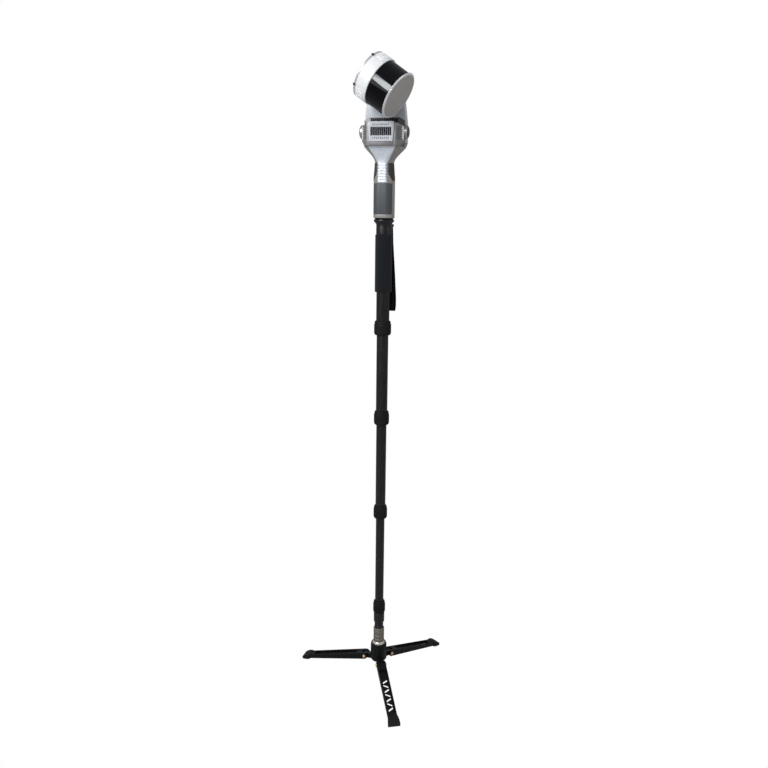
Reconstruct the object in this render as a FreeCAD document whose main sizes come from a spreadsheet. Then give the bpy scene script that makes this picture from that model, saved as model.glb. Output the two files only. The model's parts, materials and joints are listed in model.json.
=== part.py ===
"""Handheld laser scanner with a turning head, on a telescopic monopod with three folding feet.

The frame is millimetres with +Z up. The origin is on the floor, under the middle of the
rectangle that the three feet cover. The scanner looks along -Y.
"""
import FreeCAD, Part
import math
import os
import Sketcher

SIZES = {
    # Feet and their hinges. Turns are measured about the pole, from +X.
    "front_leg_turn": -68.15, "foot_reach": 225, "hinge_reach": 38, "hinge_height": 49,
    "leg_width": 23.5, "root_half": 8.5, "leg_end_reach": 211, "leg_end_low": 1.8, "leg_end_deep": 9.7,
    "cheek": 3, "web": 2.2, "channel_depth": 5, "channel_start": 63, "channel_end": 190, "fork_reach": 8.5,
    "slot_start": 96, "slot_pitch": 13.5, "slot_count": 7, "slot_half_run": 6, "slot_lean": 3.4,
    "slot_width": 6,
    "pad_width": 31, "pad_heel_width": 25, "pad_length": 24, "pad_wall": 1.4, "pad_corner": 3, "pad_toe": 3,
    "pad_nose": 5.5, "sole_length": 17,
    "bolt_dia": 5, "bolt_head_dia": 9, "bolt_head": 2.6, "lug_width": 12, "lug_half": 6.5,
    # Hub, ball joint and lock collar, stacked up the pole.
    "hub_bottom": 44, "hub_length": 50.5, "hub_dia": 43.8, "hub_edge": 3, "hub_shoulder": 7, "hub_wall": 3.5,
    "plug_length": 17.5, "plug_wall": 4, "seat_base": 8, "seat_bore_dia": 16,
    "ball_drop": 6.5, "ball_dia": 36, "stem_dia": 18.4, "collar_lift": 11.8, "collar_length": 40.4,
    "collar_dia": 28.7, "groove_pitch": 11.6, "groove_depth": 1.5, "groove_width": 3.4, "groove_count": 3,
    "fitting_neck": 16.5, "fitting_neck_dia": 23.7, "fitting_lump": 28, "fitting_dia": 28.5,
    "fitting_socket": 20,
    # Telescopic pole: section 1 is the uppermost and widest.
    "tube_1_dia": 32.4, "tube_2_dia": 28.9, "tube_3_dia": 25.8, "tube_4_dia": 22.5, "tube_5_dia": 19,
    "tube_wall": 1.2, "show_1": 74, "show_2": 194, "show_3": 219, "show_4": 238, "tube_5_length": 310,
    "tube_overlap": 6, "bush_length": 6, "bush_gap": 0.25,
    "lock_length": 35, "lock_wall": 4.85, "lock_heel": 4, "lock_crown": 6, "lock_crown_in": 1.2,
    "lock_top_in": 3, "lock_heel_in": 2.2, "collet_length": 9,
    "foam_length": 131, "foam_dia": 41, "foam_edge": 2, "neck_gap": 4, "neck_length": 23, "neck_dia": 36.8,
    "flange_rise": 3, "flange_length": 10, "flange_dia": 48.4, "flange_edge": 2, "neck_socket": 19,
    "washer_length": 1, "washer_dia": 46, "stud_dia": 9.525, "stud_down": 14, "stud_up": 12,
    # Wrist strap and its bar.
    "bar_dia": 3, "bar_reach": 23, "bar_below_neck_top": 16.7, "lug_plate": 2.4,
    "strap_turn": 69, "strap_lean": 2.6,
    "strap_width": 20, "strap_thick": 1.7, "strap_length": 206, "strap_belly": 9, "strap_inset": 2.6,
    # Scanner body.
    "grip_width": 47.2, "grip_depth": 53, "grip_corner": 17, "grip_length": 126, "flare_length": 46,
    "shoulder_width": 98, "shoulder_front": 39, "shoulder_back": 40, "shoulder_corner": 12, "shell_wall": 2.6,
    "split_depth": 2, "head_height": 291.4, "column_half": 39.5, "waist_height": 214, "waist_half": 48.6,
    "waist_round": 60, "foot_half": 44, "foot_rise": 11.7,
    "grip_waist": 2.8, "waist_start": 82, "column_edge": 9, "cap_plate": 5,
    "module_bottom": 160.3, "module_top": 209.5, "module_half": 48.8, "module_side_front": 27,
    "module_front": 47, "module_face_half": 33, "module_wall": 3,
    "keel_half": 41, "keel_top": 172, "crown_half": 36, "crown_drop": 6.5, "corner_clear": 4,
    "fin_bottom": 174.5, "fin_pitch": 5, "fin_count": 6, "fin_gap": 2.5, "fin_depth": 2.2, "fin_start": 1.5,
    "band_top": 168.8, "band_half": 27.5, "band_thick": 1.5,
    "grille_top": 212, "grille_top_half": 30.3, "grille_bottom_half": 27.7, "grille_thick": 3,
    "bar_slot_bottom": 182, "bar_slot_top": 199, "bar_slot_pitch": 4.4, "bar_slot_width": 3,
    "bar_slot_count": 11,
    "slit_pitch": 4.4, "slit_width": 2.2, "slit_count": 9, "slit_height": 3.4, "slit_low": 174, "slit_high": 203,
    "sink_slab": 2, "sink_rear_top": 225, "sink_rear_depth": 9, "sink_pitch": 4.6, "sink_count": 15,
    "sink_fin": 2.4, "cheek_in": 36, "cheek_out": 47.6, "cheek_drop": 7.5,
    "cheek_cut": 1.6, "cheek_cut_pitch": 3.4,
    "cheek_cut_deep": 3, "cheek_cut_count": 2,
    "camera_dia": 31.5, "camera_depth": 8, "camera_height": 193.4, "camera_reach": 55.6, "camera_lip": 2,
    "lens_dia": 26.5, "lens_dome": 3.6, "camera_gap": 0.3, "camera_bore": 10,
    "spine_half": 10.6, "spine_bottom": 80, "spine_rise": 1.4, "vee_bottom": 122.8, "vee_half": 32.4,
    "notch_pitch": 6.35, "notch_count": 5, "notch_deep": 2.6, "notch_tall": 3.2,
    "front_pad_half": 21.8, "front_pad_low": 8.4, "front_pad_high": 78.5, "pad_proud": 0.6, "pad_sink": 1.4,
    "side_pad_in": 13.5, "side_pad_low": 83, "side_pad_high": 124, "side_pad_sweep": 14, "side_pad_rise": 19.5, "side_pad_back": 9,
    "battery_length": 88, "board_depth": 20, "board_thick": 1.6, "button_dia": 10, "button_height": 112,
    "button_proud": 1.8, "button_flange": 2, "button_travel": 1.5,
    # Turning head and its laser sensor.
    "disc_dia": 72, "disc_thick": 5, "shaft_dia": 16, "shaft_back": 24, "bearing_dia": 28, "bearing_thick": 8,
    "motor_dia": 44, "sensor_forward": 70, "sensor_dip": 35, "sensor_lead": 9.4,
    "sensor_dia": 108, "window_dia": 104.6, "cap_dia": 107, "cap_reach": 57, "cap_thick": 3.6, "cap_edge": 1.4,
    "window_length": 49.4, "window_wall": 3, "base_length": 30, "base_wall": 5, "base_floor": 5,
    "plate_thick": 4.5, "arm_half": 20,
    "arm_gap": 1.2, "arm_reach": 20, "tab_turn": 40.5, "tab_width": 5, "tab_proud": 2.4,
    "cooling_turn": 26.5, "cooling_count": 7, "cooling_step": 6.8, "cooling_deep": 2.2,
    "cooling_width": 2.6, "cooling_length": 19, "rotor_dia": 92, "rotor_gap": 2.5, "spindle_dia": 12,
    # Clearances: between bodies that move, between pieces that are fixed, and in a pin joint.
    "move_gap": 0.3, "fit_gap": 0.1, "pin_gap": 0.1,
}

doc = FreeCAD.newDocument("scanner_on_monopod")
sheet = doc.addObject("Spreadsheet::Sheet", "dim")
for row, (alias, value) in enumerate(SIZES.items(), start=1):
    sheet.set(f"A{row}", str(value))
    sheet.setAlias(f"A{row}", alias)
doc.recompute()

parts = []


def size(alias):
    """Return the number that the sheet holds under this alias."""
    return float(sheet.get(alias))


def plus(*terms):
    """Return one expression that adds up its terms."""
    return "(" + " + ".join(str(term) for term in terms) + ")"


# ---------------------------------------------------------------- places on the pole
LEG_TURNS = {
    "a": "(dim.front_leg_turn + 240)",
    "b": "(dim.front_leg_turn + 120)",
    "c": "dim.front_leg_turn",
}


def cosine(turn):
    """Return the cosine of a turn in degrees, as an expression."""
    return f"cos({turn} * 1 deg)"


def sine(turn):
    """Return the sine of a turn in degrees, as an expression."""
    return f"sin({turn} * 1 deg)"


LEFT, RIGHT, FRONT = LEG_TURNS["a"], LEG_TURNS["b"], LEG_TURNS["c"]
TOE_HALF = "(dim.pad_width / 2 - dim.pad_corner)"
POLE_X = (f"-((dim.foot_reach - dim.pad_corner) * {cosine(RIGHT)} + dim.pad_width / 2 * {sine(RIGHT)}"
          f" + dim.foot_reach * {cosine(LEFT)} - {TOE_HALF} * {sine(LEFT)}) / 2")
POLE_Y = (f"-(dim.foot_reach * ({sine(RIGHT)} + {sine(FRONT)})"
          f" + {TOE_HALF} * ({cosine(RIGHT)} - {cosine(FRONT)})) / 2")

HUB_TOP = plus("dim.hub_bottom", "dim.hub_length")
BALL = plus(HUB_TOP, "-dim.ball_drop")
COLLAR = plus(BALL, "dim.collar_lift")
FITTING = plus(COLLAR, "dim.collar_length", "dim.move_gap")
LOCK = {4: plus(FITTING, "dim.fitting_neck", "dim.fitting_lump", "dim.move_gap")}
for section in (3, 2, 1):
    LOCK[section] = plus(LOCK[section + 1], "dim.lock_length", f"dim.show_{section + 1}")
FOAM = plus(LOCK[1], "dim.lock_length", "dim.show_1")
NECK = plus(FOAM, "dim.foam_length", "dim.neck_gap")
NECK_TOP = plus("dim.neck_length", "dim.flange_rise", "dim.flange_length")
SCANNER = plus(NECK, NECK_TOP, "dim.washer_length")


# ---------------------------------------------------------------- building helpers
def keep(item, name):
    """Name a sub-part and put it on the list of pieces to write."""
    item.Label = name
    parts.append(item)
    return item


def new_body(name, height="0", turn=None):
    """Start a sub-part whose own axis stands on the pole at a height, turned about the pole."""
    body = doc.addObject("PartDesign::Body", name)
    body.AllowCompound = True
    if turn is not None:
        body.Placement = FreeCAD.Placement(FreeCAD.Vector(), FreeCAD.Rotation(FreeCAD.Vector(0, 0, 1), 1))
        body.setExpression("Placement.Rotation.Angle", f"{turn} * 1 deg")
    body.setExpression("Placement.Base.x", POLE_X)
    body.setExpression("Placement.Base.y", POLE_Y)
    body.setExpression("Placement.Base.z", height)
    return keep(body, name)


def origin_plane(body, role):
    """Return one of the body's own origin planes."""
    return [feature for feature in body.Origin.OriginFeatures if feature.Role == role][0]


def empty_sketch(body, role, lift=None):
    """Attach a sketch to an origin plane of its body, lifted along the plane's normal."""
    sketch = body.newObject("Sketcher::SketchObject", f"{body.Name}_sketch")
    sketch.AttachmentSupport = [(origin_plane(body, role), "")]
    sketch.MapMode = "FlatFace"
    if lift is not None:
        sketch.setExpression("AttachmentOffset.Base.z", str(lift))
    return sketch


def hold(sketch, corners, geometry, point):
    """Hold sketch points at pairs of expressions, from the first geometry on."""
    held = []
    for step, pair in enumerate(corners):
        for kind, expression in zip(("DistanceX", "DistanceY"), pair):
            value = amount(sketch, expression)
            held.append(Sketcher.Constraint(kind, -1, 1, geometry + step, point, value))
    first = sketch.ConstraintCount
    sketch.addConstraint(held)
    for step, pair in enumerate(corners):
        for side, expression in enumerate(pair):
            sketch.setExpression(f"Constraints[{first + 2 * step + side}]", str(expression))


def amount(item, expression):
    """Return the number that an expression gives for an object."""
    value = item.evalExpression(str(expression))
    return float(getattr(value, "Value", value))


def add_outline(sketch, corners):
    """Draw a closed outline whose corners are pairs of expressions."""
    first = sketch.GeometryCount
    count = len(corners)
    points = [FreeCAD.Vector(amount(sketch, across), amount(sketch, along), 0) for across, along in corners]
    sketch.addGeometry([Part.LineSegment(points[step], points[(step + 1) % count]) for step in range(count)])
    sketch.addConstraint([Sketcher.Constraint("Coincident", first + step, 2, first + (step + 1) % count, 1)
                          for step in range(count)])
    hold(sketch, corners, first, 1)


def add_circle(sketch, across, along, diameter):
    """Draw a circle at a centre given as expressions."""
    centre = FreeCAD.Vector(amount(sketch, across), amount(sketch, along), 0)
    wide = amount(sketch, diameter)
    index = sketch.addGeometry(Part.Circle(centre, FreeCAD.Vector(0, 0, 1), wide / 2))
    hold(sketch, [(across, along)], index, 3)
    sized = sketch.addConstraint(Sketcher.Constraint("Diameter", index, wide))
    sketch.setExpression(f"Constraints[{sized}]", str(diameter))


def spin(body, corners):
    """Turn an outline of (radius, height) corners about the body's own Z axis."""
    sketch = empty_sketch(body, "XZ_Plane")
    add_outline(sketch, corners)
    turned = body.newObject("PartDesign::Revolution", f"{body.Name}_turned")
    turned.Profile = sketch
    turned.ReferenceAxis = (sketch, ["V_Axis"])
    turned.Angle = 360
    return turned


def raise_from(body, sketch, length, both_ways=False, reverse=False):
    """Pad a sketch by a length, or by half of it on each side."""
    pad = body.newObject("PartDesign::Pad", f"{body.Name}_pad")
    pad.Profile = sketch
    pad.Midplane = both_ways
    pad.Reversed = reverse
    pad.setExpression("Length", str(length))
    return pad


def cut_from(body, sketch, length, both_ways=False, reverse=False):
    """Pocket a sketch by a length, or by half of it on each side."""
    pocket = body.newObject("PartDesign::Pocket", f"{body.Name}_pocket")
    pocket.Profile = sketch
    pocket.Midplane = both_ways
    pocket.Reversed = reverse
    pocket.setExpression("Length", str(length))
    return pocket


def polar(body, features, count):
    """Repeat features about the body's Z axis."""
    pattern = body.newObject("PartDesign::PolarPattern", f"{body.Name}_round")
    pattern.Originals = features
    pattern.Axis = (body.Origin.OriginFeatures[2], [""])
    pattern.Angle = 360
    pattern.Occurrences = count
    body.Tip = pattern
    return pattern


def mirror(body, features, role):
    """Repeat features on the other side of one of the body's origin planes."""
    mirrored = body.newObject("PartDesign::Mirrored", f"{body.Name}_mirror")
    mirrored.Originals = features
    mirrored.MirrorPlane = (origin_plane(body, role), [""])
    body.Tip = mirrored
    return mirrored


# ---------------------------------------------------------------- feet
LEG_TOP_START = (plus("dim.hinge_reach", 2), plus("dim.hinge_height", "dim.root_half"))
LEG_LOW_START = ("(dim.hinge_reach - dim.root_half * 0.4)", "(dim.hinge_height - dim.root_half)")


def leg_line(start, end_height, reach, shift="0"):
    """Return the height of a straight edge of the leg at a reach, moved up by a shift."""
    across, height = start
    slope = f"({end_height} - {height}) / (dim.leg_end_reach - {across})"
    return f"({height} + {slope} * ({reach} - {across}) + {shift})"


def leg_top(reach, shift="0"):
    """Return the height of the leg's upper edge at a reach."""
    return leg_line(LEG_TOP_START, "(dim.leg_end_low + dim.leg_end_deep)", reach, shift)


def leg_low(reach, shift="0"):
    """Return the height of the leg's lower edge at a reach."""
    return leg_line(LEG_LOW_START, "dim.leg_end_low", reach, shift)


def build_leg(name, turn):
    """Forked channel with a row of leaning slots through its web."""
    body = new_body(name, turn=turn)
    back = "(dim.hinge_reach - dim.root_half)"
    outline = empty_sketch(body, "XZ_Plane")
    add_outline(outline, [
        (back, "(dim.hinge_height - dim.root_half * 0.4)"),
        LEG_LOW_START,
        ("dim.leg_end_reach", "dim.leg_end_low"),
        ("dim.leg_end_reach", "(dim.leg_end_low + dim.leg_end_deep)"),
        LEG_TOP_START,
        ("(dim.hinge_reach - dim.root_half * 0.4)", "(dim.hinge_height + dim.root_half)"),
        (back, "(dim.hinge_height + dim.root_half * 0.4)"),
    ])
    raise_from(body, outline, "dim.leg_width", both_ways=True)
    channel = empty_sketch(body, "XZ_Plane")
    add_outline(channel, [
        ("dim.channel_start", leg_top("dim.channel_start", "-dim.channel_depth")),
        ("dim.channel_end", leg_top("dim.channel_end", "-dim.channel_depth")),
        ("dim.channel_end", leg_top("dim.channel_end", "dim.channel_depth")),
        ("dim.channel_start", leg_top("dim.channel_start", "dim.channel_depth")),
    ])
    under = "(-dim.channel_depth - dim.web)"
    add_outline(channel, [
        ("dim.channel_start", leg_top("dim.channel_start", under)),
        ("dim.channel_end", leg_top("dim.channel_end", under)),
        ("dim.channel_end", leg_low("dim.channel_end", "-dim.channel_depth")),
        ("dim.channel_start", leg_low("dim.channel_start", "-dim.channel_depth")),
    ])
    cut_from(body, channel, "dim.leg_width - 2 * dim.cheek", both_ways=True)
    fork = empty_sketch(body, "XY_Plane")
    half = "(dim.lug_width / 2 + dim.move_gap)"
    fork_end = "(dim.hinge_reach + dim.fork_reach)"
    fork_back = "(dim.hinge_reach - 2 * dim.root_half)"
    add_outline(fork, [(fork_back, f"-{half}"), (fork_end, f"-{half}"), (fork_end, half), (fork_back, half)])
    cut_from(body, fork, "4 * dim.hinge_height", both_ways=True)
    bore = empty_sketch(body, "XZ_Plane")
    add_circle(bore, "dim.hinge_reach", "dim.hinge_height", "dim.bolt_dia + 2 * dim.pin_gap")
    cut_from(body, bore, "2 * dim.leg_width", both_ways=True)
    slots = empty_sketch(body, "XY_Plane")
    for step in range(int(size("slot_count"))):
        middle = f"(dim.slot_start + {step} * dim.slot_pitch)"
        lean = f"(dim.slot_lean * {1 if step % 2 else -1})"
        add_outline(slots, [
            (f"({middle} - {lean} - dim.slot_width / 2)", "-dim.slot_half_run"),
            (f"({middle} - {lean} + dim.slot_width / 2)", "-dim.slot_half_run"),
            (f"({middle} + {lean} + dim.slot_width / 2)", "dim.slot_half_run"),
            (f"({middle} + {lean} - dim.slot_width / 2)", "dim.slot_half_run"),
        ])
    cut_from(body, slots, "4 * dim.hinge_height", both_ways=True)
    return body


def build_foot_pad(name, turn):
    """Rubber boot with a flat sole, pushed over the end of a leg."""
    body = new_body(name, turn=turn)
    heel = "(dim.foot_reach - dim.pad_length)"
    toe = "(dim.foot_reach - dim.pad_toe)"
    outline = empty_sketch(body, "XZ_Plane")
    add_outline(outline, [
        (heel, leg_low(heel, "-dim.pad_wall")),
        ("(dim.foot_reach - dim.sole_length)", "0"),
        (toe, "0"),
        ("dim.foot_reach", "dim.pad_toe"),
        ("dim.foot_reach", "dim.pad_nose"),
        ("(dim.leg_end_reach + dim.pad_wall)", leg_top("dim.leg_end_reach", "dim.pad_wall")),
        (heel, leg_top(heel, "dim.pad_wall")),
    ])
    raise_from(body, outline, "dim.pad_width", both_ways=True)
    socket = empty_sketch(body, "XZ_Plane")
    outside = f"({heel} - dim.pad_wall)"
    add_outline(socket, [
        (outside, leg_low(outside)),
        ("dim.leg_end_reach", "dim.leg_end_low"),
        ("dim.leg_end_reach", "(dim.leg_end_low + dim.leg_end_deep)"),
        (outside, leg_top(outside)),
    ])
    cut_from(body, socket, "dim.leg_width", both_ways=True)
    corners = empty_sketch(body, "XY_Plane")
    for side in ("", "-"):
        add_outline(corners, [
            ("(dim.foot_reach - dim.pad_corner)", f"{side}dim.pad_width / 2"),
            ("dim.foot_reach", f"{side}(dim.pad_width / 2 - dim.pad_corner)"),
            ("(dim.foot_reach + dim.pad_corner)", f"{side}(dim.pad_width / 2 + dim.pad_corner)"),
        ])
        add_outline(corners, [
            (f"({heel} - 1)", f"{side}dim.pad_heel_width / 2"),
            ("(dim.foot_reach - 2 * dim.pad_corner)", f"{side}dim.pad_width / 2"),
            (f"({heel} - 1)", f"{side}(dim.pad_width / 2 + dim.pad_corner)"),
        ])
    cut_from(body, corners, "4 * dim.hinge_height", both_ways=True)
    return body


def build_hinge_bolts():
    """Three brass bolts, one through each leg's fork and the hub's lug."""
    body = new_body("hinge_bolts", turn="dim.front_leg_turn")
    shank = empty_sketch(body, "XZ_Plane")
    add_circle(shank, "dim.hinge_reach", "dim.hinge_height", "dim.bolt_dia")
    span = "(dim.leg_width / 2 + dim.move_gap)"
    through = raise_from(body, shank, f"2 * {span}", both_ways=True)
    heads = []
    for lift, reverse in ((span, False), (f"-{span}", True)):
        head = empty_sketch(body, "XZ_Plane", lift)
        add_circle(head, "dim.hinge_reach", "dim.hinge_height", "dim.bolt_head_dia")
        heads.append(raise_from(body, head, "dim.bolt_head", reverse=reverse))
    polar(body, [through] + heads, 3)
    return body


# ---------------------------------------------------------------- hub and ball joint
SOCKET = "(dim.ball_dia / 2 + dim.move_gap)"
RIM = "(sqrt(dim.ball_dia ^ 2 / 4 - dim.ball_drop ^ 2) + dim.move_gap + dim.fit_gap)"


def build_hub():
    """Hub with the ball's socket, and a lug for each leg."""
    body = new_body("hub_body", "dim.hub_bottom", "dim.front_leg_turn")
    outer = "(dim.hub_dia / 2)"
    turned = spin(body, [
        (SOCKET, "0"),
        (f"({outer} - dim.hub_edge)", "0"),
        (outer, "(dim.hub_edge * 1.6)"),
        (f"({outer} - dim.fit_gap * 5)", "(dim.hub_length - dim.hub_shoulder)"),
        (f"({outer} - dim.hub_wall / 3)", "(dim.hub_length - dim.hub_shoulder / 3)"),
        (f"({outer} - dim.hub_wall * 0.7)", "dim.hub_length"),
        (RIM, "dim.hub_length"),
        (SOCKET, "(dim.hub_length - dim.ball_drop)"),
    ])
    middle = "(dim.hinge_height - dim.hub_bottom)"
    start = f"({outer} - dim.hub_wall / 2)"
    end = "(dim.hinge_reach + dim.lug_half)"
    shoulder = "(dim.hinge_reach + dim.lug_half * 0.41)"
    lug = empty_sketch(body, "XZ_Plane")
    add_outline(lug, [
        (start, f"({middle} - dim.lug_half)"),
        (shoulder, f"({middle} - dim.lug_half)"),
        (end, f"({middle} - dim.lug_half * 0.41)"),
        (end, f"({middle} + dim.lug_half * 0.41)"),
        (shoulder, f"({middle} + dim.lug_half)"),
        (start, f"({middle} + dim.lug_half)"),
    ])
    lugs = raise_from(body, lug, "dim.lug_width", both_ways=True)
    polar(body, [lugs], 3)
    bore = empty_sketch(body, "XZ_Plane")
    add_circle(bore, "dim.hinge_reach", middle, "dim.bolt_dia + 2 * dim.fit_gap")
    bores = cut_from(body, bore, "2 * dim.lug_width", both_ways=True)
    polar(body, [bores], 3)
    return turned


def build_ball_joint():
    """Plug, seat, ball with its stem, and the ribbed lock collar."""
    plug = new_body("hub_plug", "dim.hub_bottom")
    edge = f"({SOCKET} - dim.fit_gap)"
    spin(plug, [
        (f"({edge} - dim.plug_wall)", "0"),
        (edge, "0"),
        (edge, "dim.plug_length"),
        ("0", "dim.plug_length"),
        ("0", "(dim.plug_length - dim.plug_wall)"),
        (f"({edge} - dim.plug_wall)", "(dim.plug_length - dim.plug_wall)"),
    ])
    seat = new_body("ball_seat", plus("dim.hub_bottom", "dim.plug_length", "dim.move_gap"))
    centre = f"({BALL} - dim.hub_bottom - dim.plug_length - dim.move_gap)"
    rim = f"({SOCKET} - 2 * dim.move_gap)"
    cone_drop = f"({SOCKET} * sqrt(2))"
    spin(seat, [
        ("dim.seat_bore_dia / 2", "0"),
        (rim, "0"),
        (rim, f"({centre} - {cone_drop} + {rim})"),
        ("dim.seat_bore_dia / 2", f"({centre} - {cone_drop} + dim.seat_bore_dia / 2)"),
    ])
    stem = new_body("ball_stem", BALL)
    build_ball(stem)
    collar = new_body("lock_collar", COLLAR)
    bore = "(dim.stem_dia / 2 + dim.move_gap)"
    outer = "(dim.collar_dia / 2)"
    corners = [(bore, f"({outer} - {bore})"), (outer, "0")]
    for step in range(int(size("groove_count"))):
        middle = f"({step + 1} * dim.groove_pitch - dim.groove_width / 2)"
        corners += [
            (outer, f"({middle} - dim.groove_width / 2)"),
            (f"({outer} - dim.groove_depth)", f"({middle} - dim.groove_width / 5)"),
            (f"({outer} - dim.groove_depth)", f"({middle} + dim.groove_width / 5)"),
            (outer, f"({middle} + dim.groove_width / 2)"),
        ]
    corners += [
        (outer, "(dim.collar_length - dim.groove_depth)"),
        (f"({outer} - dim.groove_depth)", "dim.collar_length"),
        (bore, "dim.collar_length"),
    ]
    spin(collar, corners)


def build_ball(body):
    """Polished ball with a plain stem that the pole's end fitting is pressed on."""
    ball = body.newObject("PartDesign::AdditiveSphere", "ball_sphere")
    ball.setExpression("Radius", "dim.ball_dia / 2")
    stem = empty_sketch(body, "XY_Plane")
    add_circle(stem, "0", "0", "dim.stem_dia")
    top = "dim.collar_lift + dim.collar_length + dim.move_gap + dim.fitting_socket - dim.fit_gap"
    raise_from(body, stem, top)


def build_end_fitting():
    """Stepped fitting that joins the lowest tube to the ball's stem."""
    body = new_body("end_fitting", FITTING)
    stem_bore = "(dim.stem_dia / 2 + dim.fit_gap)"
    tube_bore = "(dim.tube_5_dia / 2 + dim.fit_gap)"
    top = "(dim.fitting_neck + dim.fitting_lump)"
    floor = "(dim.fitting_socket + dim.fitting_neck / 4)"
    spin(body, [
        (stem_bore, "0"),
        ("dim.fitting_neck_dia / 2", "0"),
        ("dim.fitting_neck_dia / 2", "dim.fitting_neck"),
        ("(dim.fitting_dia / 2 - dim.lock_crown_in)", "dim.fitting_neck"),
        ("dim.fitting_dia / 2", "(dim.fitting_neck + dim.lock_heel)"),
        ("dim.fitting_dia / 2", f"({top} - dim.lock_heel)"),
        ("(dim.fitting_dia / 2 - dim.lock_crown_in)", top),
        (tube_bore, top),
        (tube_bore, floor),
        ("0", floor),
        ("0", "dim.fitting_socket"),
        (stem_bore, "dim.fitting_socket"),
    ])


# ---------------------------------------------------------------- telescopic pole
TUBE_SEAT = plus("dim.lock_heel", "dim.collet_length", "2 * dim.move_gap")


def outer_radius(section):
    """Return the outer radius of a section's tube."""
    return f"(dim.tube_{section}_dia / 2)"


def inner_radius(section):
    """Return the bore radius of a section's tube."""
    return f"(dim.tube_{section}_dia / 2 - dim.tube_wall)"


def build_ring(name, height, inner, outer, length):
    """Plain ring or tube standing on a height."""
    body = new_body(name, height)
    spin(body, [(inner, "0"), (outer, "0"), (outer, length), (inner, length)])
    return body


def build_pole():
    """Five tubes, each with its bush, and the collet and twist lock between each pair."""
    top = f"({NECK} - {LOCK[1]} - {TUBE_SEAT} + dim.neck_socket)"
    build_ring("tube_1", plus(LOCK[1], TUBE_SEAT), inner_radius(1), outer_radius(1), top)
    for section in (2, 3, 4):
        start = plus(LOCK[section], TUBE_SEAT)
        end = plus(LOCK[section - 1], "dim.lock_length", "dim.tube_overlap")
        build_ring(f"tube_{section}", start, inner_radius(section), outer_radius(section),
                   f"({end} - {start})")
        build_ring(f"bush_{section}", end, inner_radius(section),
                   f"({inner_radius(section - 1)} - dim.bush_gap)", "dim.bush_length")
    start = plus(FITTING, "dim.fitting_socket", "dim.fitting_neck / 4")
    build_ring("tube_5", start, inner_radius(5), outer_radius(5), "dim.tube_5_length")
    build_ring("bush_5", plus(start, "dim.tube_5_length"), inner_radius(5),
               f"({inner_radius(4)} - dim.bush_gap)", "dim.bush_length")
    for section in (1, 2, 3, 4):
        slide = f"({outer_radius(section + 1)} + dim.move_gap)"
        build_ring(f"collet_{section}", plus(LOCK[section], "dim.lock_heel", "dim.move_gap"),
                   slide, outer_radius(section), "dim.collet_length")
        build_lock(section)


def build_lock(section):
    """Barrel-shaped twist lock round the lower end of a tube."""
    body = new_body(f"twist_lock_{section}", LOCK[section])
    outer = f"({outer_radius(section)} + dim.lock_wall)"
    bore = f"({outer_radius(section)} + dim.move_gap)"
    throat = f"({outer_radius(section + 1)} + dim.move_gap)"
    spin(body, [
        (throat, "0"),
        (f"({outer} - dim.lock_heel_in)", "0"),
        (outer, "dim.lock_heel"),
        (outer, "(dim.lock_length - dim.lock_crown)"),
        (f"({outer} - dim.lock_crown_in)", "(dim.lock_length - dim.lock_crown / 2)"),
        (f"({outer} - dim.lock_top_in)", "dim.lock_length"),
        (bore, "dim.lock_length"),
        (bore, "dim.lock_heel"),
        (throat, "dim.lock_heel"),
    ])


def build_pole_top():
    """Foam grip, neck with its flange, washer and screw for the scanner."""
    foam = new_body("foam_grip", FOAM)
    bore = f"({outer_radius(1)} + dim.fit_gap)"
    spin(foam, [
        (bore, "0"),
        ("(dim.foam_dia / 2 - dim.foam_edge)", "0"),
        ("dim.foam_dia / 2", "dim.foam_edge"),
        ("dim.foam_dia / 2", "(dim.foam_length - dim.foam_edge)"),
        ("(dim.foam_dia / 2 - dim.foam_edge)", "dim.foam_length"),
        (bore, "dim.foam_length"),
    ])
    neck = new_body("pole_neck", NECK)
    start = "-dim.neck_gap"
    stud = "(dim.stud_dia / 2 + dim.fit_gap)"
    spin(neck, [
        (bore, start),
        ("(dim.neck_dia / 2 - dim.flange_edge)", start),
        ("dim.neck_dia / 2", "0"),
        ("dim.neck_dia / 2", "dim.neck_length"),
        ("(dim.flange_dia / 2 - dim.flange_edge)", "(dim.neck_length + dim.flange_rise)"),
        ("dim.flange_dia / 2", "(dim.neck_length + dim.flange_rise + dim.flange_edge)"),
        ("dim.flange_dia / 2", f"({NECK_TOP} - dim.flange_edge)"),
        ("(dim.flange_dia / 2 - dim.flange_edge / 2)", NECK_TOP),
        (stud, NECK_TOP),
        (stud, f"({NECK_TOP} - dim.stud_down)"),
        ("0", f"({NECK_TOP} - dim.stud_down)"),
        ("0", "dim.neck_socket"),
        (bore, "dim.neck_socket"),
    ])
    build_ring("mount_washer", plus(NECK, NECK_TOP), stud, "dim.washer_dia / 2", "dim.washer_length")
    body = new_body("mount_stud", f"({SCANNER} - dim.washer_length - dim.stud_down)")
    length = "(dim.stud_down + dim.washer_length + dim.stud_up)"
    tip = "(dim.stud_dia / 2 - dim.flange_edge / 2)"
    spin(body, [
        ("0", "0"),
        ("dim.stud_dia / 2", "0"),
        ("dim.stud_dia / 2", f"({length} - dim.flange_edge / 2)"),
        (tip, length),
        ("0", length),
    ])


def strap_placement():
    """Return the placement of the strap's bar: turned about the pole and leaning a little to one side."""
    turned = FreeCAD.Rotation(FreeCAD.Vector(0, 0, 1), size("strap_turn"))
    leaning = FreeCAD.Rotation(FreeCAD.Vector(1, 0, 0), -size("strap_lean"))
    return FreeCAD.Placement(FreeCAD.Vector(), turned.multiply(leaning))


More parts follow.
